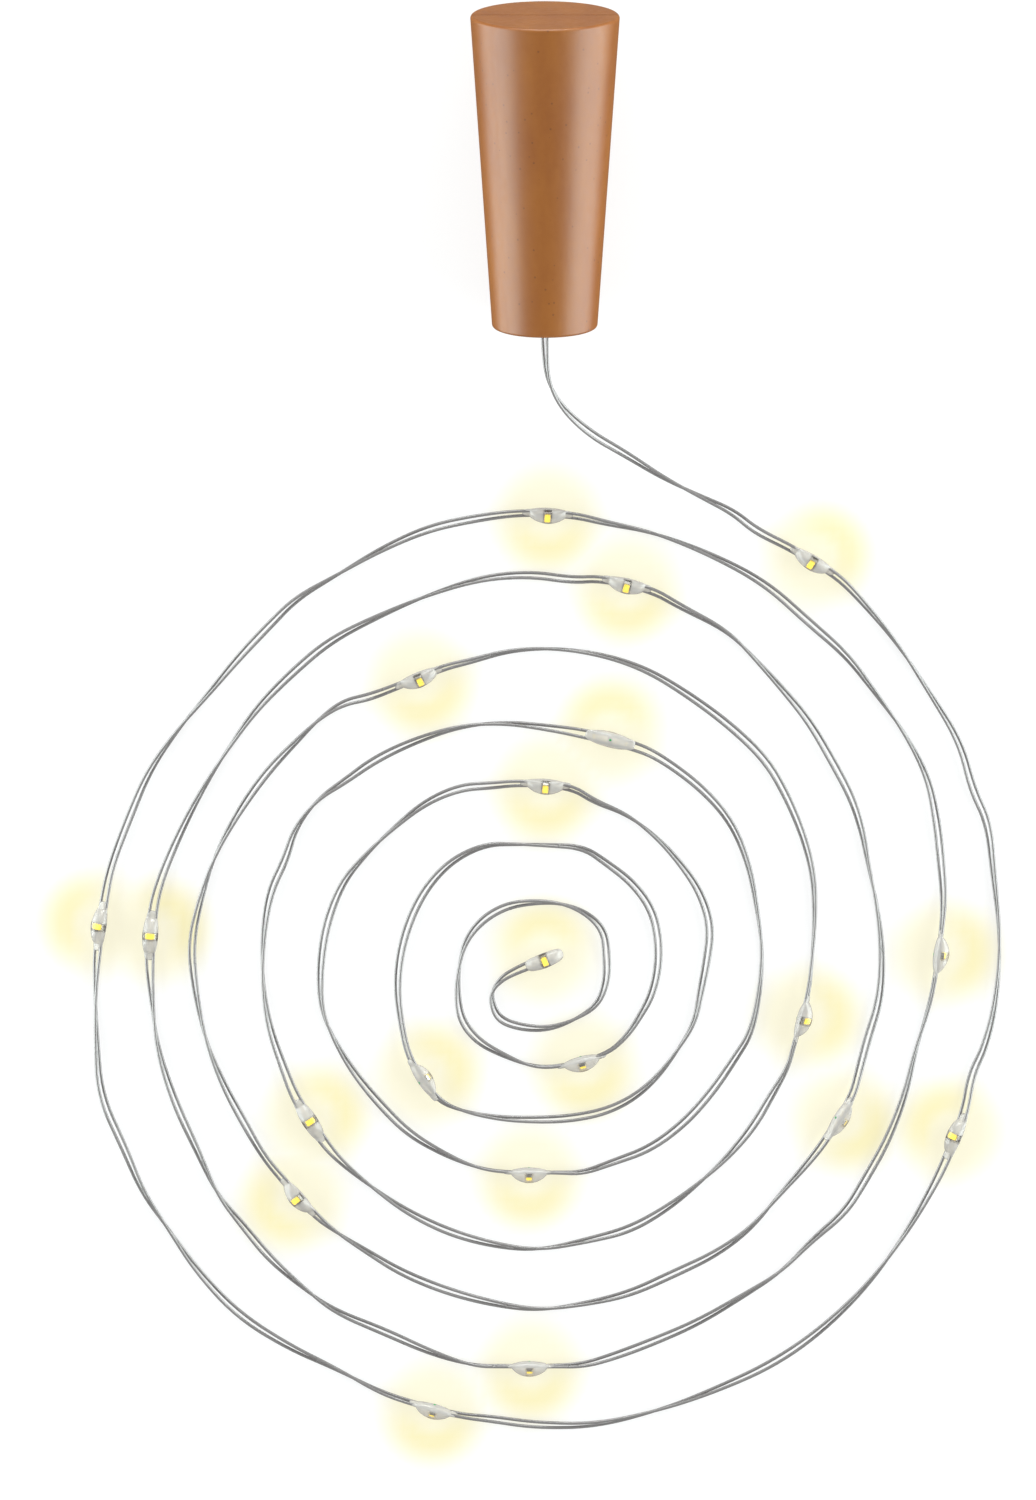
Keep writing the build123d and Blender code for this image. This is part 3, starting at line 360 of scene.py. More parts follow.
def circuit_laminate():
    """Green solder mask on glass laminate: a faint weave of 0.4 mm under a satin lacquer."""
    material, tree, shader, places = start_material("solder_mask_on_laminate", {
        "IOR": 1.5, "Roughness": 0.32, "Coat Weight": 0.3, "Coat Roughness": 0.12})
    turned = add_node(tree, "ShaderNodeMapping", inputs={
        "Vector": places, "Rotation": (-CORK_TILT, 0.0, 0.0)})
    weave = add_node(tree, "ShaderNodeTexChecker", inputs={"Vector": turned, "Scale": 1 / WEAVE_STEP})
    threads = weave.outputs["Fac"]
    cloud = grain(tree, places, MASK_CLOUD)
    shade = add_node(tree, "ShaderNodeMath", {"operation": "MULTIPLY_ADD"}, {0: threads, 1: 0.25, 2: cloud})
    finish_surface(tree, shader, shade, ("#0E4A24", "#2B8046"), threads, 0.004 * MM)
    return material


def lit_phosphor():
    """The lit yellow resin over a chip, faintly uneven from the powder in it."""
    material, tree, shader, places = start_material("lit_phosphor_resin", {
        "IOR": 1.5, "Roughness": 0.4, "Emission Strength": 1.1})
    powder = grain(tree, places, POWDER_GRAIN, 2.0)
    for socket, low, high in (("Base Color", "#F2CE34", "#FFE760"), ("Emission Color", "#FFDE3C", "#FFEC6A")):
        tone = add_node(tree, "ShaderNodeMix", COLOUR_MIX, {MIX_FACTOR: powder, MIX_LOW: low, MIX_HIGH: high})
        set_inputs(tree, shader, {socket: tone})
    return material


def potting_epoxy(settings):
    """Two-part epoxy, cured in a drop: glossy, clear over the lit chip and milky where it hides the wires."""
    material, tree, shader, places = start_material("milky_epoxy_drop", {"IOR": 1.45, "Roughness": 0.18})
    ripple = grain(tree, places, EPOXY_CLOUD, 1.0)
    haze = add_node(tree, "ShaderNodeAttribute", {"attribute_name": "haze"}).outputs["Fac"]
    clear = add_node(tree, "ShaderNodeMapRange", inputs={"Value": haze, "To Min": 0.95, "To Max": 0.4})
    set_inputs(tree, shader, {"Transmission Weight": clear})
    finish_surface(tree, shader, ripple, (settings.epoxy_shade, settings.epoxy_light), ripple, 0.02 * MM)
    return material


def enamelled_wire():
    """Tinned copper wire under clear enamel: silver grey, glossy, with a faint drawn unevenness."""
    material, tree, shader, places = start_material("clear_enamel_on_tinned_wire", {
        "Metallic": 0.5, "Roughness": 0.28, "Coat Weight": 0.2, "Coat Roughness": 0.1})
    uneven = grain(tree, places, WIRE_CLOUD, 1.0)
    finish_surface(tree, shader, uneven, ("#868382", "#989493"), uneven, 0.004 * MM, (0.24, 0.32))
    return material


def soft_silicone():
    """Moulded silicone, slightly clouded and tinted to go with the stopper."""
    material, tree, shader, places = start_material("moulded_silicone", {
        "IOR": 1.42, "Roughness": 0.5, "Subsurface Weight": 0.2, "Subsurface Scale": 0.6 * MM})
    cloud = grain(tree, places, SILICONE_CLOUD)
    finish_surface(tree, shader, cloud, ("#8A5A34", "#B27D4F"), cloud, 0.01 * MM)
    return material


def dress(material, *names):
    """Gives CAD nodes one material in all their slots."""
    for name in names:
        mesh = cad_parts[name].data
        mesh.materials.clear()
        mesh.materials.append(material)


def bearing_place(bearing, reach):
    """A place on the floor from a clockwise bearing and a distance from the middle of the spiral."""
    angle = math.radians(bearing)
    return Vector((SPIRAL_CENTRE[0] + reach * math.sin(angle), SPIRAL_CENTRE[1] + reach * math.cos(angle),
                   REST_HEIGHT))


def is_end_drop(number):
    """Whether a drop is the longer bead that closes the string."""
    return number == len(DROPS) - 1


def drop_size(number):
    """The length and the diameter of a drop."""
    return (END_DROP_LENGTH, END_DROP_DIAMETER) if is_end_drop(number) else (DROP_LENGTH, DROP_DIAMETER)


def drop_pair_height(number):
    """Height of the two strands in a drop that rests on the floor with its dome rolled over."""
    return drop_size(number)[1] / 2 - DOME_OFFSET * math.cos(math.radians(DROPS[number][3]))


def string_route():
    """The middle line of the string, as places with a heading, the roll of the pair and its spread."""
    half_length = (CORK_LENGTH * math.cos(CORK_TILT)
                   + (CORK_WIDE_RADIUS - CORK_NARROW_RADIUS) * math.sin(CORK_TILT)) / 2 / MM
    exit_place = Vector((0, -half_length, CORK_NARROW_RADIUS * math.cos(CORK_TILT) / MM))
    outward = Vector((0, -math.cos(CORK_TILT), -math.sin(CORK_TILT)))
    stretches = [[exit_place, exit_place + outward * EXIT_RUN] + [Vector(place) for place in LEAD_IN_POINTS]]
    for stretch in BENDS:
        stretches.append([bearing_place(bearing, reach) for bearing, reach in stretch])
    route = []
    roll = 0.0
    last_dome = 0.0
    for number, (stretch, drop) in enumerate(zip(stretches, DROPS)):
        x, y, heading, dome, half_turns = drop
        twist = dome - last_dome + half_turns * HALF_CIRCLE
        for step, place in enumerate(stretch):
            spread = EXIT_PAIR_SPREAD if number == 0 and step < 2 else PAIR_SPREAD
            route.append((place, None, roll + twist * step / len(stretch), spread))
        roll += twist
        last_dome = dome
        ahead = Vector((math.cos(math.radians(heading)), math.sin(math.radians(heading)), 0))
        middle = Vector((x, y, drop_pair_height(number)))
        run_in = END_RUN_IN if is_end_drop(number) else DROP_RUN / 2
        run_out = END_WIRE_REACH if is_end_drop(number) else DROP_RUN / 2
        route.append((middle - ahead * run_in, ahead, roll, DROP_PAIR_SPREAD))
        route.append((middle + ahead * run_out, ahead, roll, DROP_PAIR_SPREAD))
    return route


def strand_points(route, side):
    """The places of one strand of the pair along the route, in metres."""
    places = [place for place, heading, roll, spread in route]
    points = []
    for index, (place, heading, roll, spread) in enumerate(route):
        if heading is None:
            before = places[max(index - 1, 0)]
            after = places[index + 1]
            heading = (after - before).normalized()
            if index > 0:
                heading = ((place - before).normalized() + (after - place).normalized()).normalized()
        right = Vector((heading.y, -heading.x, 0)).normalized()
        up = right.cross(heading)
        angle = math.radians(roll)
        points.append((place + (right * math.cos(angle) - up * math.sin(angle)) * side * spread) * MM)
    return points


def drop_frame(number):
    """The frame of a drop in metres, with X along the string, Y across the strands and Z towards the dome."""
    x, y, heading, dome = DROPS[number][:4]
    angle = math.radians(heading)
    roll = math.radians(dome)
    ahead = Vector((math.cos(angle), math.sin(angle), 0))
    right = Vector((ahead.y, -ahead.x, 0))
    dome_way = Vector((0, 0, 1)) * math.cos(roll) + right * math.sin(roll)
    middle = (Vector((x, y, drop_pair_height(number))) + dome_way * DOME_OFFSET) * MM
    axes = Matrix((ahead, dome_way.cross(ahead), dome_way)).transposed()
    return Matrix.Translation(middle) @ axes.to_4x4()


def add_object(name, data):
    """Puts an object with its data in the scene, at the origin."""
    item = bpy.data.objects.new(name, data)
    bpy.context.scene.collection.objects.link(item)
    return item


def joined_mesh(name, parts):
    """Joins meshes, each with one material and its own place, into one mesh that keeps their materials."""
    mesh = bpy.data.meshes.new(name)
    build = bmesh.new()
    for part, place in parts:
        first_vertex = len(build.verts)
        first_face = len(build.faces)
        build.from_mesh(part)
        build.verts.ensure_lookup_table()
        build.faces.ensure_lookup_table()
        bmesh.ops.transform(build, matrix=place, verts=build.verts[first_vertex:])
        material = part.materials[0]
        if material.name not in mesh.materials:
            mesh.materials.append(material)
        for face in build.faces[first_face:]:
            face.material_index = mesh.materials.find(material.name)
    build.to_mesh(mesh)
    build.free()
    return mesh


def grown_mesh(name, tree, values):
    """Runs a node tree with the values of its inputs on an empty object, and gives the plain mesh.

    The primitives in the tree leave an empty material slot first, so the one material is set again.
    """
    carrier = add_object(name + "_carrier", bpy.data.meshes.new(name + "_carrier"))
    modifier = carrier.modifiers.new("Form", "NODES")
    modifier.node_group = tree
    sockets = {item.name: item.identifier for item in tree.interface.items_tree
               if item.item_type == "SOCKET" and item.in_out == "INPUT"}
    for key, value in values.items():
        modifier[sockets[key]] = value
    graph = bpy.context.evaluated_depsgraph_get()
    mesh = bpy.data.meshes.new_from_object(carrier.evaluated_get(graph))
    mesh.name = name
    mesh.materials.clear()
    mesh.materials.append(values["Material"])
    mesh.polygons.foreach_set("material_index", [0] * len(mesh.polygons))
    carrier.modifiers.clear()
    bpy.data.objects.remove(carrier)
    return mesh


def start_tree(name, inputs):
    """Starts a geometry node tree with named inputs, and gives it with their sockets inside it."""
    tree = bpy.data.node_groups.new(name, "GeometryNodeTree")
    for key, kind in inputs.items():
        tree.interface.new_socket(key, in_out="INPUT", socket_type=kind)
    tree.interface.new_socket("Geometry", in_out="OUTPUT", socket_type="NodeSocketGeometry")
    entry = add_node(tree, "NodeGroupInput")
    return tree, {key: entry.outputs[key] for key in inputs}


def close_tree(tree, sizes, shape):
    """Ends a tree in smooth faces, Realize Instances and Set Material."""
    smooth = add_node(tree, "GeometryNodeSetShadeSmooth", inputs={"Geometry": shape})
    real = add_node(tree, "GeometryNodeRealizeInstances", inputs={"Geometry": smooth})
    dressed = add_node(tree, "GeometryNodeSetMaterial", inputs={
        "Geometry": real, "Material": sizes["Material"]})
    add_node(tree, "NodeGroupOutput", inputs={"Geometry": dressed})


def arithmetic(tree, values, steps):
    """Adds sums to a tree, and gives them by name beside the values that they start from.

    Each step is its name, its operation and what it works on: numbers, or names of values or earlier steps.
    """
    known = dict(values)
    for name, operation, *terms in steps:
        known[name] = add_node(tree, "ShaderNodeMath", {"operation": operation}, {
            index: known.get(term, term) for index, term in enumerate(terms)})
    return known


def place_parts(tree):
    """The place of each point of a shape, and its three parts by axis."""
    place = add_node(tree, "GeometryNodeInputPosition")
    parts = add_node(tree, "ShaderNodeSeparateXYZ", inputs={"Vector": place}).outputs
    return place, {axis: parts[axis] for axis in "XYZ"}


def drop_form_tree():
    """The form of an epoxy drop: a round dome that draws in to two flat tails along the wires."""
    lengths = ("Length", "Tail", "Middle Width", "Tip Width", "Middle Height", "Tip Height", "Dome Offset",
               "Ripple", "Window Start", "Window End")
    tree, sizes = start_tree("epoxy_drop_form", {
        **dict.fromkeys(lengths, "NodeSocketFloat"), "Seed": "NodeSocketInt",
        "Material": "NodeSocketMaterial"})
    ball = add_node(tree, "GeometryNodeMeshUVSphere", inputs={"Segments": 36, "Rings": 48, "Radius": 1.0})
    turned = add_node(tree, "GeometryNodeTransform", inputs={
        "Geometry": ball, "Rotation": (0.0, math.pi / 2, 0.0)})
    place, parts = place_parts(tree)
    waves = add_node(tree, "ShaderNodeTexNoise", {"noise_dimensions": "4D"}, {
        "Vector": place, "W": sizes["Seed"], "Scale": 1 / RIPPLE_SIZE, "Detail": 1.0})
    steps = [
        ("squared", "MULTIPLY", "X", "X"),
        ("from pole", "SUBTRACT", 1.0, "squared"),
        ("ring squared", "MAXIMUM", "from pole", LEAST_RING),
        ("ring", "SQRT", "ring squared"),
        ("steep", "POWER", "squared", END_POWER),
        ("to end", "SUBTRACT", 1.0, "steep"),
        ("kept end", "MAXIMUM", "to end", 0.0),
        ("end round", "POWER", "kept end", END_ROUND),
        ("body half", "MULTIPLY", "Length", 0.5),
        ("half", "ADD", "body half", "Tail"),
        ("x", "MULTIPLY", "X", "half"),
        ("along", "DIVIDE", "x", "body half"),
        ("along squared", "MULTIPLY", "along", "along"),
        ("in body", "SUBTRACT", 1.0, "along squared"),
        ("kept body", "MAXIMUM", "in body", 0.0),
        ("swell", "POWER", "kept body", SWELL_POWER),
        ("from chip", "ABSOLUTE", "x"),
        ("wave", "SUBTRACT", "waves", 0.5),
        ("lift", "MULTIPLY", "wave", "Ripple"),
        ("below swell", "SUBTRACT", "swell", 1.0),
        ("sink", "MULTIPLY", "below swell", "Dome Offset")]
    for axis, side in (("Y", "Width"), ("Z", "Height")):
        steps += [
            ("growth", "SUBTRACT", "Middle " + side, "Tip " + side),
            ("whole", "MULTIPLY_ADD", "swell", "growth", "Tip " + side),
            ("half side", "MULTIPLY", "whole", 0.5),
            ("around", "DIVIDE", axis, "ring"),
            ("drawn in", "MULTIPLY", "around", "end round"),
            (side, "MULTIPLY", "drawn in", "half side")]
    steps.append(("z", "ADD", "Height", "sink"))
    sums = arithmetic(tree, {**sizes, **parts, "waves": waves}, steps)
    moved = add_node(tree, "ShaderNodeCombineXYZ", inputs={
        "X": sums["x"], "Y": sums["Width"], "Z": sums["z"]})
    off_chip = add_node(tree, "ShaderNodeMapRange", SMOOTH_STEP, {
        "Value": sums["from chip"], "From Min": sizes["Window Start"], "From Max": sizes["Window End"]})
    behind = add_node(tree, "ShaderNodeMapRange", SMOOTH_STEP, {
        "Value": parts["Z"], "From Min": BACK_HAZE[0], "From Max": BACK_HAZE[1]})
    haze = add_node(tree, "ShaderNodeMath", {"operation": "MAXIMUM"}, {0: off_chip, 1: behind})
    hazed = add_node(tree, "GeometryNodeStoreNamedAttribute", {"data_type": "FLOAT", "domain": "POINT"}, {
        "Geometry": turned, "Name": "haze", "Value": haze})
    shaped = add_node(tree, "GeometryNodeSetPosition", inputs={"Geometry": hazed, "Position": moved})
    normal = add_node(tree, "GeometryNodeInputNormal")
    shift = add_node(tree, "ShaderNodeVectorMath", {"operation": "SCALE"}, {0: normal, "Scale": sums["lift"]})
    rippled = add_node(tree, "GeometryNodeSetPosition", inputs={"Geometry": shaped, "Offset": shift})
    close_tree(tree, sizes, rippled)
    return tree


def evenly_spaced(tree, sizes):
    """Points in a row along Y, evenly spaced about the middle."""
    sums = arithmetic(tree, sizes, (
        ("gaps", "SUBTRACT", "Count", 1.0),
        ("half gaps", "MULTIPLY", "gaps", -0.5),
        ("start", "MULTIPLY", "half gaps", "Spacing")))
    first = add_node(tree, "ShaderNodeCombineXYZ", inputs={"Y": sums["start"]})
    step = add_node(tree, "ShaderNodeCombineXYZ", inputs={"Y": sizes["Spacing"]})
    return add_node(tree, "GeometryNodeMeshLine", inputs={
        "Count": sizes["Count"], "Start Location": first, "Offset": step})


def bead_row_tree():
    """A row of equal oval beads of solder."""
    tree, sizes = start_tree("solder_bead_row", {
        "Count": "NodeSocketInt", "Spacing": "NodeSocketFloat", "Size": "NodeSocketVector",
        "Material": "NodeSocketMaterial"})
    bead = add_node(tree, "GeometryNodeMeshIcoSphere", inputs={"Radius": 0.5, "Subdivisions": 3})
    beads = add_node(tree, "GeometryNodeInstanceOnPoints", inputs={
        "Points": evenly_spaced(tree, sizes), "Instance": bead, "Scale": sizes["Size"]})
    close_tree(tree, sizes, beads)
    return tree


def soft_block_tree():
    """A block whose edges and corners are softened, of any length, width and height."""
    tree, sizes = start_tree("softened_block", {"Size": "NodeSocketVector", "Material": "NodeSocketMaterial"})
    cube = add_node(tree, "GeometryNodeMeshCube", inputs={
        "Size": (2.0, 2.0, 2.0), "Vertices X": 9, "Vertices Y": 9, "Vertices Z": 9})
    place, parts = place_parts(tree)
    steps = []
    for axis in parts:
        steps += [("side " + axis, "ABSOLUTE", axis), ("power " + axis, "POWER", "side " + axis, BLOCK_POWER)]
    sums = arithmetic(tree, parts, (
        *steps,
        ("two powers", "ADD", "power X", "power Y"),
        ("all powers", "ADD", "two powers", "power Z"),
        ("reach", "POWER", "all powers", 1 / BLOCK_POWER),
        ("half", "DIVIDE", 0.5, "reach")))
    softened = add_node(tree, "ShaderNodeVectorMath", {"operation": "SCALE"}, {
        0: place, "Scale": sums["half"]})
    sized = add_node(tree, "ShaderNodeVectorMath", {"operation": "MULTIPLY"}, {0: softened, 1: sizes["Size"]})
    block = add_node(tree, "GeometryNodeSetPosition", inputs={"Geometry": cube, "Position": sized})
    close_tree(tree, sizes, block)
    return tree


def grip_rib_tree():
    """Round ribs side by side, as on the thumb face of a switch knob."""
    tree, sizes = start_tree("knob_grip_ribs", {
        "Count": "NodeSocketInt", "Spacing": "NodeSocketFloat", "Width": "NodeSocketFloat",
        "Length": "NodeSocketFloat", "Material": "NodeSocketMaterial"})
    radius = add_node(tree, "ShaderNodeMath", {"operation": "MULTIPLY"}, {0: sizes["Width"], 1: 0.5})
    bar = add_node(tree, "GeometryNodeMeshCylinder", inputs={
        "Vertices": 20, "Radius": radius, "Depth": sizes["Length"]})
    ribs = add_node(tree, "GeometryNodeInstanceOnPoints", inputs={
        "Points": evenly_spaced(tree, sizes), "Instance": bar, "Rotation": (0.0, math.pi / 2, 0.0)})
    close_tree(tree, sizes, ribs)
    return tree


def drop_name(number):
    """The name of one drop's piece."""
    return f"drop_{number + 1:02d}"


def make_drop(number, look, form, beads, finishes):
    """One epoxy drop with the solder on its two wires and the green mark on the back of its chip."""
    length, diameter = drop_size(number)
    epoxy, solder, mark = finishes
    width = diameter * MM - look.ripple
    tail = 0.0 if is_end_drop(number) else look.tail
    body = grown_mesh("drop_body", form, {
        "Length": length * MM, "Tail": tail, "Middle Width": width, "Tip Width": look.tip_width,
        "Middle Height": width, "Tip Height": look.tip_height, "Dome Offset": DOME_OFFSET * MM,
        "Ripple": look.ripple, "Window Start": look.window_start, "Window End": look.window_end,
        "Seed": number + 1, "Material": epoxy})
    fillets = grown_mesh("drop_fillets", beads, {
        "Count": 2, "Spacing": 2 * DROP_PAIR_SPREAD * MM, "Size": SOLDER_SIZE, "Material": solder})
    dot = grown_mesh("drop_mark", beads, {"Count": 1, "Spacing": 0.0, "Size": MARK_SIZE, "Material": mark})
    wire_plane = Matrix.Translation((0.0, 0.0, -DOME_OFFSET * MM))
    mark_place = Matrix.Translation((0.0, 0.0, MARK_SIZE[2] / 2 - diameter * MM / 2))
    mesh = joined_mesh(drop_name(number), [
        (body, Matrix.Identity(4)), (fillets, wire_plane), (dot, mark_place)])
    mesh.transform(drop_frame(number))
    for part in (body, fillets, dot):
        bpy.data.meshes.remove(part)
    piece = add_object(drop_name(number), mesh)
    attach(piece, STOPPER_BODY)
    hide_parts(f"led_drop_{number + 1:02d}")


def make_chips(blocks, finishes):
    """The light chips of all the drops: a pale ceramic board, two tinned ends and lit resin between them.

    Each kind of block has its places in a drop, across the string and up.
    """
    floor = STRAND_RADIUS + CHIP_GAP - DOME_OFFSET
    end_shift = (CHIP_ROOM_LENGTH - CHIP_END[1]) / 2
    kinds = []
    for name, size, finish, places in (
            ("chip_board", CHIP_BOARD, finishes[0], [(0.0, floor)]),
            ("chip_end", CHIP_END, finishes[1], [(-end_shift, floor), (end_shift, floor)]),
            ("chip_resin", CHIP_RESIN, finishes[2], [(0.0, floor + CHIP_BOARD[2])])):
        block = grown_mesh(name, blocks, {"Size": [side * MM for side in size], "Material": finish})
        kinds.append((block, [Matrix.Translation(Vector((0.0, y, z + size[2] / 2)) * MM) for y, z in places]))
    parts = [(block, drop_frame(number) @ place)
             for number in range(len(DROPS)) for block, places in kinds for place in places]
    piece = add_object("light_chips", joined_mesh("light_chips", parts))
    for kind in kinds:
        bpy.data.meshes.remove(kind[0])
    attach(piece, STOPPER_BODY)
    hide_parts("led_chips")


def make_strand(name, points, look, wire):
    """One strand of the string as a round wire on a smooth curve along its route."""
    curve = bpy.data.curves.new(name, "CURVE")
    curve.dimensions = "3D"
    curve.bevel_depth = look.strand_radius
    curve.bevel_resolution = 3
    curve.use_fill_caps = True
    curve.resolution_u = 6
    spline = curve.splines.new("NURBS")
    spline.points.add(len(points) - 1)
    for control, place in zip(spline.points, points):
        control.co = (*place, 1.0)
    spline.order_u = 3
    spline.use_endpoint_u = True
    spline.use_smooth = True
    curve.materials.append(wire)
    piece = add_object(name, curve)
    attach(piece, STOPPER_BODY)
    letter = name[-1]
    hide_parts(f"lead_in_strand_{letter}", f"spiral_strand_{letter}")


def knob_face():
    """The frame of the knob's thumb face, with Y along the stopper and Z out of the face."""
    along = Vector((0.0, math.cos(CORK_TILT), math.sin(CORK_TILT)))
    outward = Vector((0.0, math.sin(CORK_TILT), -math.cos(CORK_TILT)))
    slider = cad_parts["switch_slider"].data.vertices
    depth = max(vertex.co.dot(outward) for vertex in slider)
    on_face = [vertex.co.dot(along) for vertex in slider if vertex.co.dot(outward) > depth - FACE_TOLERANCE]
    middle = (max(on_face) + min(on_face)) / 2
    axes = Matrix((Vector((-1.0, 0.0, 0.0)), along, outward)).transposed()
    return Matrix.Translation(along * middle + outward * depth) @ axes.to_4x4()


def ease(value, low, high):
    """A smooth step from 0 to 1 between two values."""
    share = min(max((value - low) / (high - low), 0.0), 1.0)
    return share * share * (3 - 2 * share)


def glow_at(place, light, beam, settings):
    """How strongly one light's painted glow colours the floor at a place: a pale middle, a soft ring and a
    fade.
    """
    away = place - light - beam * BEAM_SHIFT
    reach = away.length
    side = ease(away.normalized().dot(beam), -BEAM_SIDE, 1.0) if reach else 0.0
    ring = ease(reach, settings.glow_rise, settings.glow_ring) * side
    fade = 1 - ease(reach, settings.glow_ring, settings.glow_end)
    return (settings.glow_centre + (1 - settings.glow_centre) * ring) * fade


def grid_lines(low, high):
    """Where the lines of the floor's mesh lie along one axis: fine steps over the string, and one far out."""
    steps = math.ceil((high - low) / FLOOR_STEP)
    fine = [low + step * FLOOR_STEP for step in range(steps + 1)]
    return [-FLOOR_REACH, *fine, FLOOR_REACH]


def make_floor(settings):
    """The pale floor, whose mesh carries how strongly the painted glow of the lights colours it."""
    lights = [Vector(drop[:2]) * MM for drop in DROPS]
    beams = [Vector((math.cos(math.radians(way)), math.sin(math.radians(way)))) for way in BEAM_HEADINGS]
    across, along = [grid_lines(min(values) - GLOW_MARGIN, max(values) + GLOW_MARGIN)
                     for values in zip(*lights)]
    places = [Vector((x, y)) for y in along for x in across]
    wide = len(across)
    corners = [row * wide + column for row in range(len(along) - 1) for column in range(wide - 1)]
    faces = [(corner, corner + 1, corner + wide + 1, corner + wide) for corner in corners]
    mesh = bpy.data.meshes.new("studio_floor")
    mesh.from_pydata([(*place, 0.0) for place in places], [], faces)
    # Painted glow: how strongly a pool of each light's warm light is painted on the floor, at each point of
    # its mesh
    painted_glow = mesh.attributes.new("glow", "FLOAT", "POINT")
    glows = [max(glow_at(place, light, beam, settings) for light, beam in zip(lights, beams))
             for place in places]
    painted_glow.data.foreach_set("value", glows)
    floor = add_object("studio_floor", mesh)
    mesh.materials.append(lit_floor_material(settings))
    floor.visible_glossy = False


def lit_floor_material(settings):
    """White sweep paper, lit so brightly that shadows nearly vanish, with a painted warm glow round each
    light.
    """
    material, tree, shader, places = start_material("overlit_sweep_paper", {
        "Roughness": 0.9, "Emission Strength": settings.floor_light})
    glow = add_node(tree, "ShaderNodeAttribute", {"attribute_name": "glow"}).outputs["Fac"]
    white = add_node(tree, "ShaderNodeMix", COLOUR_MIX, {
        MIX_FACTOR: grain(tree, places, PAPER_CLOUD), MIX_LOW: "#FEFEFE", MIX_HIGH: "#FFFFFF"})
    # Painted glow: the floor's colour and its own emission turn warm round each light, standing in for the
    # light of the drops
    painted_glow = add_node(tree, "ShaderNodeMix", COLOUR_MIX, {
        MIX_FACTOR: glow, MIX_LOW: white, MIX_HIGH: settings.glow_colour})
    shaded = add_node(tree, "ShaderNodeVectorMath", {"operation": "SCALE"}, {
        0: painted_glow, "Scale": settings.floor_shade})
    set_inputs(tree, shader, {"Base Color": shaded, "Emission Color": painted_glow})
    return material


def make_world(settings):
    """A plain studio room: a dome that is darker at its top, and below it only what gloss picks up.

    Behind the stopper gloss picks up more, as the sheen of its end face shows. Past the edge of the floor the
    picture shows one even pale wall.
    """
    world = bpy.data.worlds.new("studio_room")
    world.use_nodes = True
    tree = world.node_tree
    tree.nodes.clear()
    way = add_node(tree, "ShaderNodeTexCoord").outputs["Generated"]
    sides = add_node(tree, "ShaderNodeSeparateXYZ", inputs={"Vector": way}).outputs
    below = add_node(tree, "ShaderNodeMapRange", inputs={
        "Value": sides["Y"], **BEHIND, "To Min": settings.room_floor, "To Max": settings.room_back})
    above = add_node(tree, "ShaderNodeMapRange", inputs={
        "Value": sides["Z"], **DOME, "To Min": settings.room_light, "To Max": settings.room_top})
    light = add_node(tree, "ShaderNodeMapRange", inputs={
        "Value": sides["Z"], **HORIZON, "To Min": below, "To Max": above})
    seen = add_node(tree, "ShaderNodeLightPath").outputs["Is Camera Ray"]
    shown = add_node(tree, "ShaderNodeMapRange", inputs={
        "Value": seen, "To Min": light, "To Max": settings.room_wall})
    sky = add_node(tree, "ShaderNodeBackground", inputs={"Color": "#FFFFFF", "Strength": shown})
    add_node(tree, "ShaderNodeOutputWorld", inputs={"Surface": sky})
    bpy.context.scene.world = world


def make_softbox(name, middle, target, size, radiance, colour):
    """A flat soft light turned to a target, whose power follows from how bright its face looks."""
    data = bpy.data.lights.new(name, "AREA")
    data.shape = "RECTANGLE"
    data.size, data.size_y = size
    data.energy = radiance * math.pi * size[0] * size[1]
    data.color = colour[:3]
    lamp = add_object(name, data)
    lamp.location = middle
    lamp.rotation_euler = (target - middle).to_track_quat("-Z", "Y").to_euler()


def make_camera():
    """The camera that takes the photograph's view, nearly straight down from the stopper's side."""
    data = bpy.data.cameras.new("photo_camera")
    data.sensor_fit = "VERTICAL"
    data.sensor_height = SENSOR_HEIGHT
    data.lens = FOCAL_PIXELS / IMAGE_HEIGHT * SENSOR_HEIGHT
    data.clip_start, data.clip_end = CAMERA_CLIP
    back = Vector((0.0, math.sin(CAMERA_TILT), math.cos(CAMERA_TILT)))
    up = Vector((0.0, math.cos(CAMERA_TILT), -math.sin(CAMERA_TILT)))
    axes = Matrix((up.cross(back), up, back)).transposed()
    camera = add_object("photo_camera", data)
    camera.matrix_world = Matrix.Translation(CAMERA_TARGET + back * CAMERA_DISTANCE) @ axes.to_4x4()
    bpy.context.scene.camera = camera


def colour_value(name, description, text):
    """A colour that the user can change, given as an sRGB hex text."""
    return bpy.props.FloatVectorProperty(
        name=name, description=description, subtype="COLOR", size=4, min=0.0, max=1.0,
        default=linear_colour(text))


def length_value(name, description, default):
    """A length in metres that the user can change."""
    return bpy.props.FloatProperty(
        name=name, description=description, unit="LENGTH", precision=5, min=0.0, default=default)


def share_value(name, description, default):
    """A share from 0 to 1 that the user can change."""
    return bpy.props.FloatProperty(
        name=name, description=description, subtype="FACTOR", min=0.0, max=1.0, default=default)


def brightness_value(name, description, default):
    """A brightness that the user can change."""
    return bpy.props.FloatProperty(name=name, description=description, min=0.0, default=default)


class StopperLook(bpy.types.PropertyGroup):
    """Colours of the stopper and the ribs of its switch knob."""
    dark_cork: colour_value("Dark cork", "Deepest brown of the moulded plastic", "#824508")
    light_cork: colour_value("Light cork", "Palest brown of the moulded plastic", "#96580D")
    speck: colour_value("Speck", "Colour of the small dark specks", "#55290A")
    rib_count: bpy.props.IntProperty(
        name="Knob ribs", description="Ribs on the thumb face of the switch knob", default=4, min=1, max=8)
    rib_width: length_value("Rib width", "Width of one rib on the knob", 0.24 * MM)
    rib_length: length_value("Rib length", "Length of the ribs across the knob", 1.4 * MM)


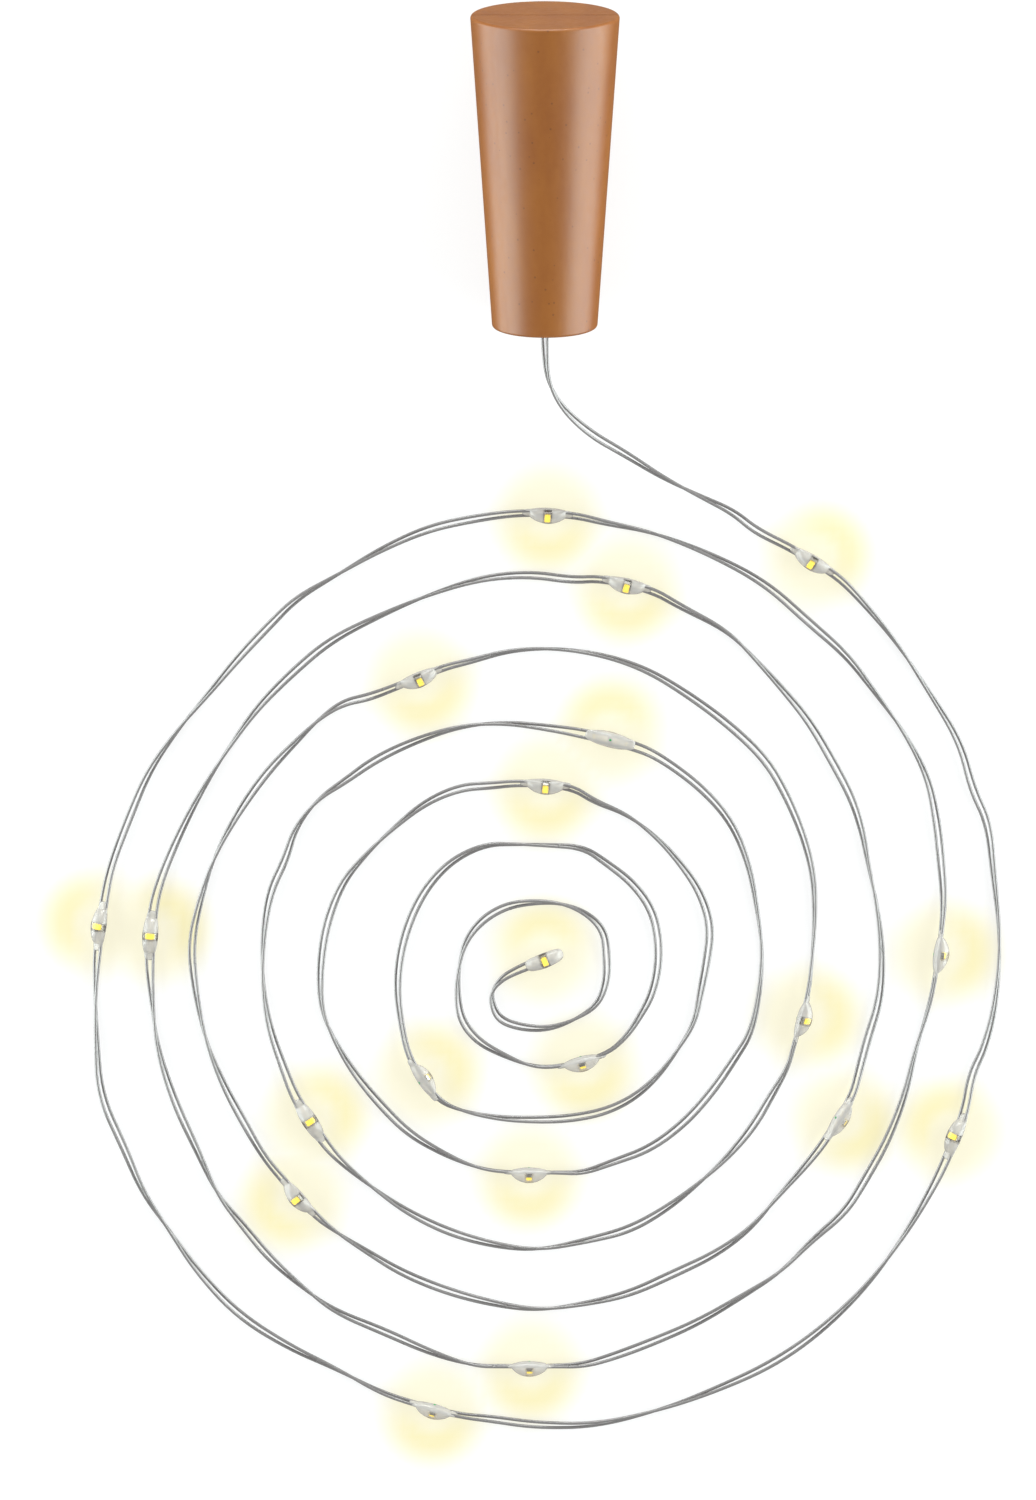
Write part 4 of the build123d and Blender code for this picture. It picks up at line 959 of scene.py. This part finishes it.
class StringLook(bpy.types.PropertyGroup):
    """Sizes and colours of the strands and the drops."""
    strand_radius: length_value("Strand radius", "Half the thickness of one strand", STRAND_RADIUS * MM)
    tip_width: length_value("Tip width", "Width of a drop where it ends on the wires", 1.75 * MM)
    tip_height: length_value("Tip height", "Height of a drop where it ends on the wires", 0.7 * MM)
    ripple: length_value("Ripple", "Unevenness of the cured resin", 0.12 * MM)
    tail: length_value("Tail", "How far the resin runs along the wires past each end of a drop", 1.2 * MM)
    window_start: length_value("Window start", "Distance from the chip where the haze begins", 0.4 * MM)
    window_end: length_value("Window end", "Distance from the chip where the resin is fully hazy", 0.9 * MM)
    epoxy_shade: colour_value("Epoxy shade", "Darker tone of the resin", "#CCC6C0")
    epoxy_light: colour_value("Epoxy light", "Lighter tone of the resin", "#DFDAD4")


class StudioLook(bpy.types.PropertyGroup):
    """Floor, lights and the painted glow that the lights of the string throw on the floor."""
    floor_light: brightness_value("Floor light", "Light that the floor gives by itself", 0.76)
    floor_shade: share_value("Floor shade", "Share of the light on the floor that it sends back", 0.25)
    # The glow values shape the painted pool of warm light round each light on the floor
    glow_colour: colour_value("Glow colour", "Colour of the floor in the ring round a light", "#F8EFBE")
    glow_centre: share_value("Glow centre", "Strength of the tint right under a light", 0.6)
    glow_rise: length_value("Glow rise", "Radius where the ring of the tint begins", 2.0 * MM)
    glow_ring: length_value("Glow ring", "Radius where the tint is strongest", 4.8 * MM)
    glow_end: length_value("Glow end", "Radius where the tint has faded", 11.2 * MM)
    room_light: brightness_value("Room light", "Brightness of the room just above the floor", 0.85)
    room_top: brightness_value("Room top", "Brightness of the room straight above", 0.36)
    room_floor: brightness_value("Room floor", "Brightness that gloss picks up from the floor", 0.15)
    room_back: brightness_value("Room back", "Brightness that gloss picks up behind the stopper", 0.36)
    room_wall: brightness_value("Room wall", "Brightness of the wall past the edge of the floor", 0.9)
    side_light: brightness_value("Side light", "Brightness of the face of each side softbox", 4.6)
    side_colour: colour_value("Side colour", "Colour of the side softboxes, a little cool", "#F3FFFF")
    side_distance: length_value("Side distance", "How far each side softbox stands from the object", 0.5)
    back_light: brightness_value("Back light", "Brightness of the softbox behind the stopper", 8.7)
    back_colour: colour_value("Back colour", "Colour of the softbox behind the stopper", "#F8FFFF")


class BOTTLELIGHT_OT_stopper_shells(bpy.types.Operator):
    """Give the two cork-shaped shells their satin moulded finish"""
    bl_idname = "bottlelight.stopper_shells"
    bl_label = "Stopper Shells"

    def execute(self, context):
        dress(moulded_cork_plastic(context.scene.stopper_look), "front_cover", "rear_shell")
        return {"FINISHED"}


class BOTTLELIGHT_OT_battery_tray(bpy.types.Operator):
    """Give the battery tray, its contacts, its spring and its screws their finishes"""
    bl_idname = "bottlelight.battery_tray"
    bl_label = "Battery Tray"

    def execute(self, context):
        dress(plain_plastic("black_moulded_abs", "#141414", "#242322", 0.45, 0.3 * MM), "battery_tray")
        dress(plated_metal("nickel_plated_strip", "#B9B4A8", "#DAD6CC", 0.28, (1.0, 0.08, 1.0)),
              "negative_contact", "positive_contact")
        dress(plated_metal("nickel_plated_spring_wire", "#B4B0A6", "#D6D3CA", 0.24, (1.0, 1.0, 0.3)),
              "negative_spring")
        dress(plated_metal("zinc_plated_screw", "#A9ABAA", "#CDD0CF", 0.34),
              "tray_screw_left", "tray_screw_right")
        return {"FINISHED"}


class BOTTLELIGHT_OT_button_cells(bpy.types.Operator):
    """Give the cans, caps and seals of the button cells their finishes"""
    bl_idname = "bottlelight.button_cells"
    bl_label = "Button Cells"

    def execute(self, context):
        for part, finish in (
                ("can", plated_metal("nickel_plated_cell_can", "#C3C1BC", "#E2E0DB", 0.22, (1.0, 0.05, 1.0))),
                ("cap", plated_metal("nickel_plated_cell_cap", "#BDBBB5", "#DCDAD5", 0.3)),
                ("seal", plain_plastic("moulded_nylon_seal", "#20201F", "#343331", 0.5, 0.2 * MM))):
            dress(finish, *(f"cell_{part}_{number}" for number in (1, 2, 3)))
        return {"FINISHED"}


class BOTTLELIGHT_OT_circuit_board(bpy.types.Operator):
    """Give the circuit board, its resistor and its solder joints their finishes"""
    bl_idname = "bottlelight.circuit_board"
    bl_label = "Circuit Board"

    def execute(self, context):
        dress(circuit_laminate(), "circuit_board")
        dress(plain_plastic("glazed_resistor_body", "#0E0E10", "#1D1D21", 0.25, 0.2 * MM), "board_resistor")
        dress(plated_metal("reflowed_solder", "#BFC1C4", "#E1E2E4", 0.2), "solder_joints")
        return {"FINISHED"}


class BOTTLELIGHT_OT_slide_switch(bpy.types.Operator):
    """Give the slide switch its finishes and its knob the grip ribs"""
    bl_idname = "bottlelight.slide_switch"
    bl_label = "Slide Switch"

    def execute(self, context):
        look = context.scene.stopper_look
        knob_plastic = plain_plastic("black_moulded_nylon", "#101010", "#202020", 0.4, 0.25 * MM)
        dress(knob_plastic, "switch_slider")
        dress(plated_metal("tin_plated_sheet", "#B5B6B4", "#D3D4D1", 0.3, (1.0, 0.1, 1.0)), "switch_frame")
        dress(plain_plastic("phenolic_paper_board", "#5A3115", "#7C4A24", 0.55, 0.25 * MM), "switch_wafer")
        dress(plated_metal("tin_plated_brass", "#C2BFB2", "#DEDBCF", 0.25, (1.0, 1.0, 0.1)), "switch_pins")
        dress(plated_metal("phosphor_bronze_strip", "#A9713F", "#CF9A63", 0.28, (1.0, 0.1, 1.0)),
              "switch_wiper")
        ribs = grown_mesh("knob_ribs", grip_rib_tree(), {
            "Count": look.rib_count, "Spacing": KNOB_LENGTH / look.rib_count, "Width": look.rib_width,
            "Length": look.rib_length, "Material": knob_plastic})
        ribs.transform(knob_face())
        piece = add_object("knob_ribs", ribs)
        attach(piece, KNOB_BODY)
        return {"FINISHED"}


class BOTTLELIGHT_OT_inner_leads(bpy.types.Operator):
    """Give the insulated leads, the strand ends and the exit grommet their finishes"""
    bl_idname = "bottlelight.inner_leads"
    bl_label = "Inner Leads"

    def execute(self, context):
        dress(plain_plastic("red_pvc_insulation", "#8E100C", "#B01E17", 0.35, 0.3 * MM),
              "positive_lead", "red_lead")
        dress(plain_plastic("black_pvc_insulation", "#0F0F0F", "#1E1E1E", 0.35, 0.3 * MM), "black_lead")
        dress(enamelled_wire(), "string_leads")
        dress(soft_silicone(), "exit_grommet")
        return {"FINISHED"}


class BOTTLELIGHT_OT_light_drops(bpy.types.Operator):
    """Make the epoxy drops with their solder and the lit chips in them"""
    bl_idname = "bottlelight.light_drops"
    bl_label = "Light Drops"

    def execute(self, context):
        look = context.scene.string_look
        epoxy = potting_epoxy(look)
        solder = plated_metal("copper_tinted_solder", "#7A5230", "#B98A55", 0.35)
        mark = plain_plastic("green_cathode_mark", "#0B7A3C", "#16A456", 0.4, 0.2 * MM)
        form = drop_form_tree()
        beads = bead_row_tree()
        for number in range(len(DROPS)):
            make_drop(number, look, form, beads, (epoxy, solder, mark))
        ceramic = plain_plastic("white_chip_ceramic", "#D8D2C6", "#EFEAE0", 0.4, 0.2 * MM)
        tinned = plated_metal("tinned_chip_end", "#B9B7B2", "#DDDBD6", 0.3)
        make_chips(soft_block_tree(), (ceramic, tinned, lit_phosphor()))
        return {"FINISHED"}


class BOTTLELIGHT_OT_strands(bpy.types.Operator):
    """Lay the two strands of the string along their route and through the drops"""
    bl_idname = "bottlelight.strands"
    bl_label = "Strands"

    def execute(self, context):
        look = context.scene.string_look
        wire = enamelled_wire()
        route = string_route()
        make_strand("strand_a", strand_points(route, LEFT), look, wire)
        make_strand("strand_b", strand_points(route, RIGHT), look, wire)
        return {"FINISHED"}


class BOTTLELIGHT_OT_studio(bpy.types.Operator):
    """Make the overlit floor, the room, the softboxes and the camera"""
    bl_idname = "bottlelight.studio"
    bl_label = "Studio"

    def execute(self, context):
        look = context.scene.studio_look
        make_floor(look)
        make_world(look)
        for name, side, height in SIDE_SOFTBOXES:
            place = OBJECT_MIDDLE + Vector((side * look.side_distance, 0.0, height))
            make_softbox(name, place, OBJECT_MIDDLE, SIDE_SOFTBOX_SIZE, look.side_light, look.side_colour)
        make_softbox("back_softbox", BACK_SOFTBOX_PLACE, STOPPER_MIDDLE, BACK_SOFTBOX_SIZE,
                     look.back_light, look.back_colour)
        make_camera()
        context.scene.view_settings.view_transform = "Standard"
        return {"FINISHED"}


class BOTTLELIGHT_PT_panel(bpy.types.Panel):
    """The steps that dress the bottle light, with the values that each one uses"""
    bl_label = "Cork Bottle Light"
    bl_idname = "BOTTLELIGHT_PT_panel"
    bl_space_type = "VIEW_3D"
    bl_region_type = "UI"
    bl_category = "Bottle Light"

    def draw(self, context):
        layout = self.layout
        for group in GROUPS:
            look = getattr(context.scene, GROUPS[group])
            box = layout.box()
            for key in group.__annotations__:
                box.prop(look, key)
        for step in STEPS:
            layout.operator(step.bl_idname)


GROUPS = {StopperLook: "stopper_look", StringLook: "string_look", StudioLook: "studio_look"}
STEPS = (
    BOTTLELIGHT_OT_stopper_shells,
    BOTTLELIGHT_OT_battery_tray,
    BOTTLELIGHT_OT_button_cells,
    BOTTLELIGHT_OT_circuit_board,
    BOTTLELIGHT_OT_slide_switch,
    BOTTLELIGHT_OT_inner_leads,
    BOTTLELIGHT_OT_light_drops,
    BOTTLELIGHT_OT_strands,
    BOTTLELIGHT_OT_studio,
)


def register():
    """Registers the classes and puts the settings on the scene."""
    for group, name in GROUPS.items():
        bpy.utils.register_class(group)
        setattr(bpy.types.Scene, name, bpy.props.PointerProperty(type=group))
    for item in (*STEPS, BOTTLELIGHT_PT_panel):
        bpy.utils.register_class(item)


def unregister():
    """Takes the classes and the settings away again."""
    for item in (BOTTLELIGHT_PT_panel, *reversed(STEPS)):
        bpy.utils.unregister_class(item)
    for group, name in reversed(GROUPS.items()):
        delattr(bpy.types.Scene, name)
        bpy.utils.unregister_class(group)


def main():
    """Dresses the bottle light step by step."""
    register()
    for step in STEPS:
        space, name = step.bl_idname.split(".")
        getattr(getattr(bpy.ops, space), name)()


if __name__ == "__main__":
    main()
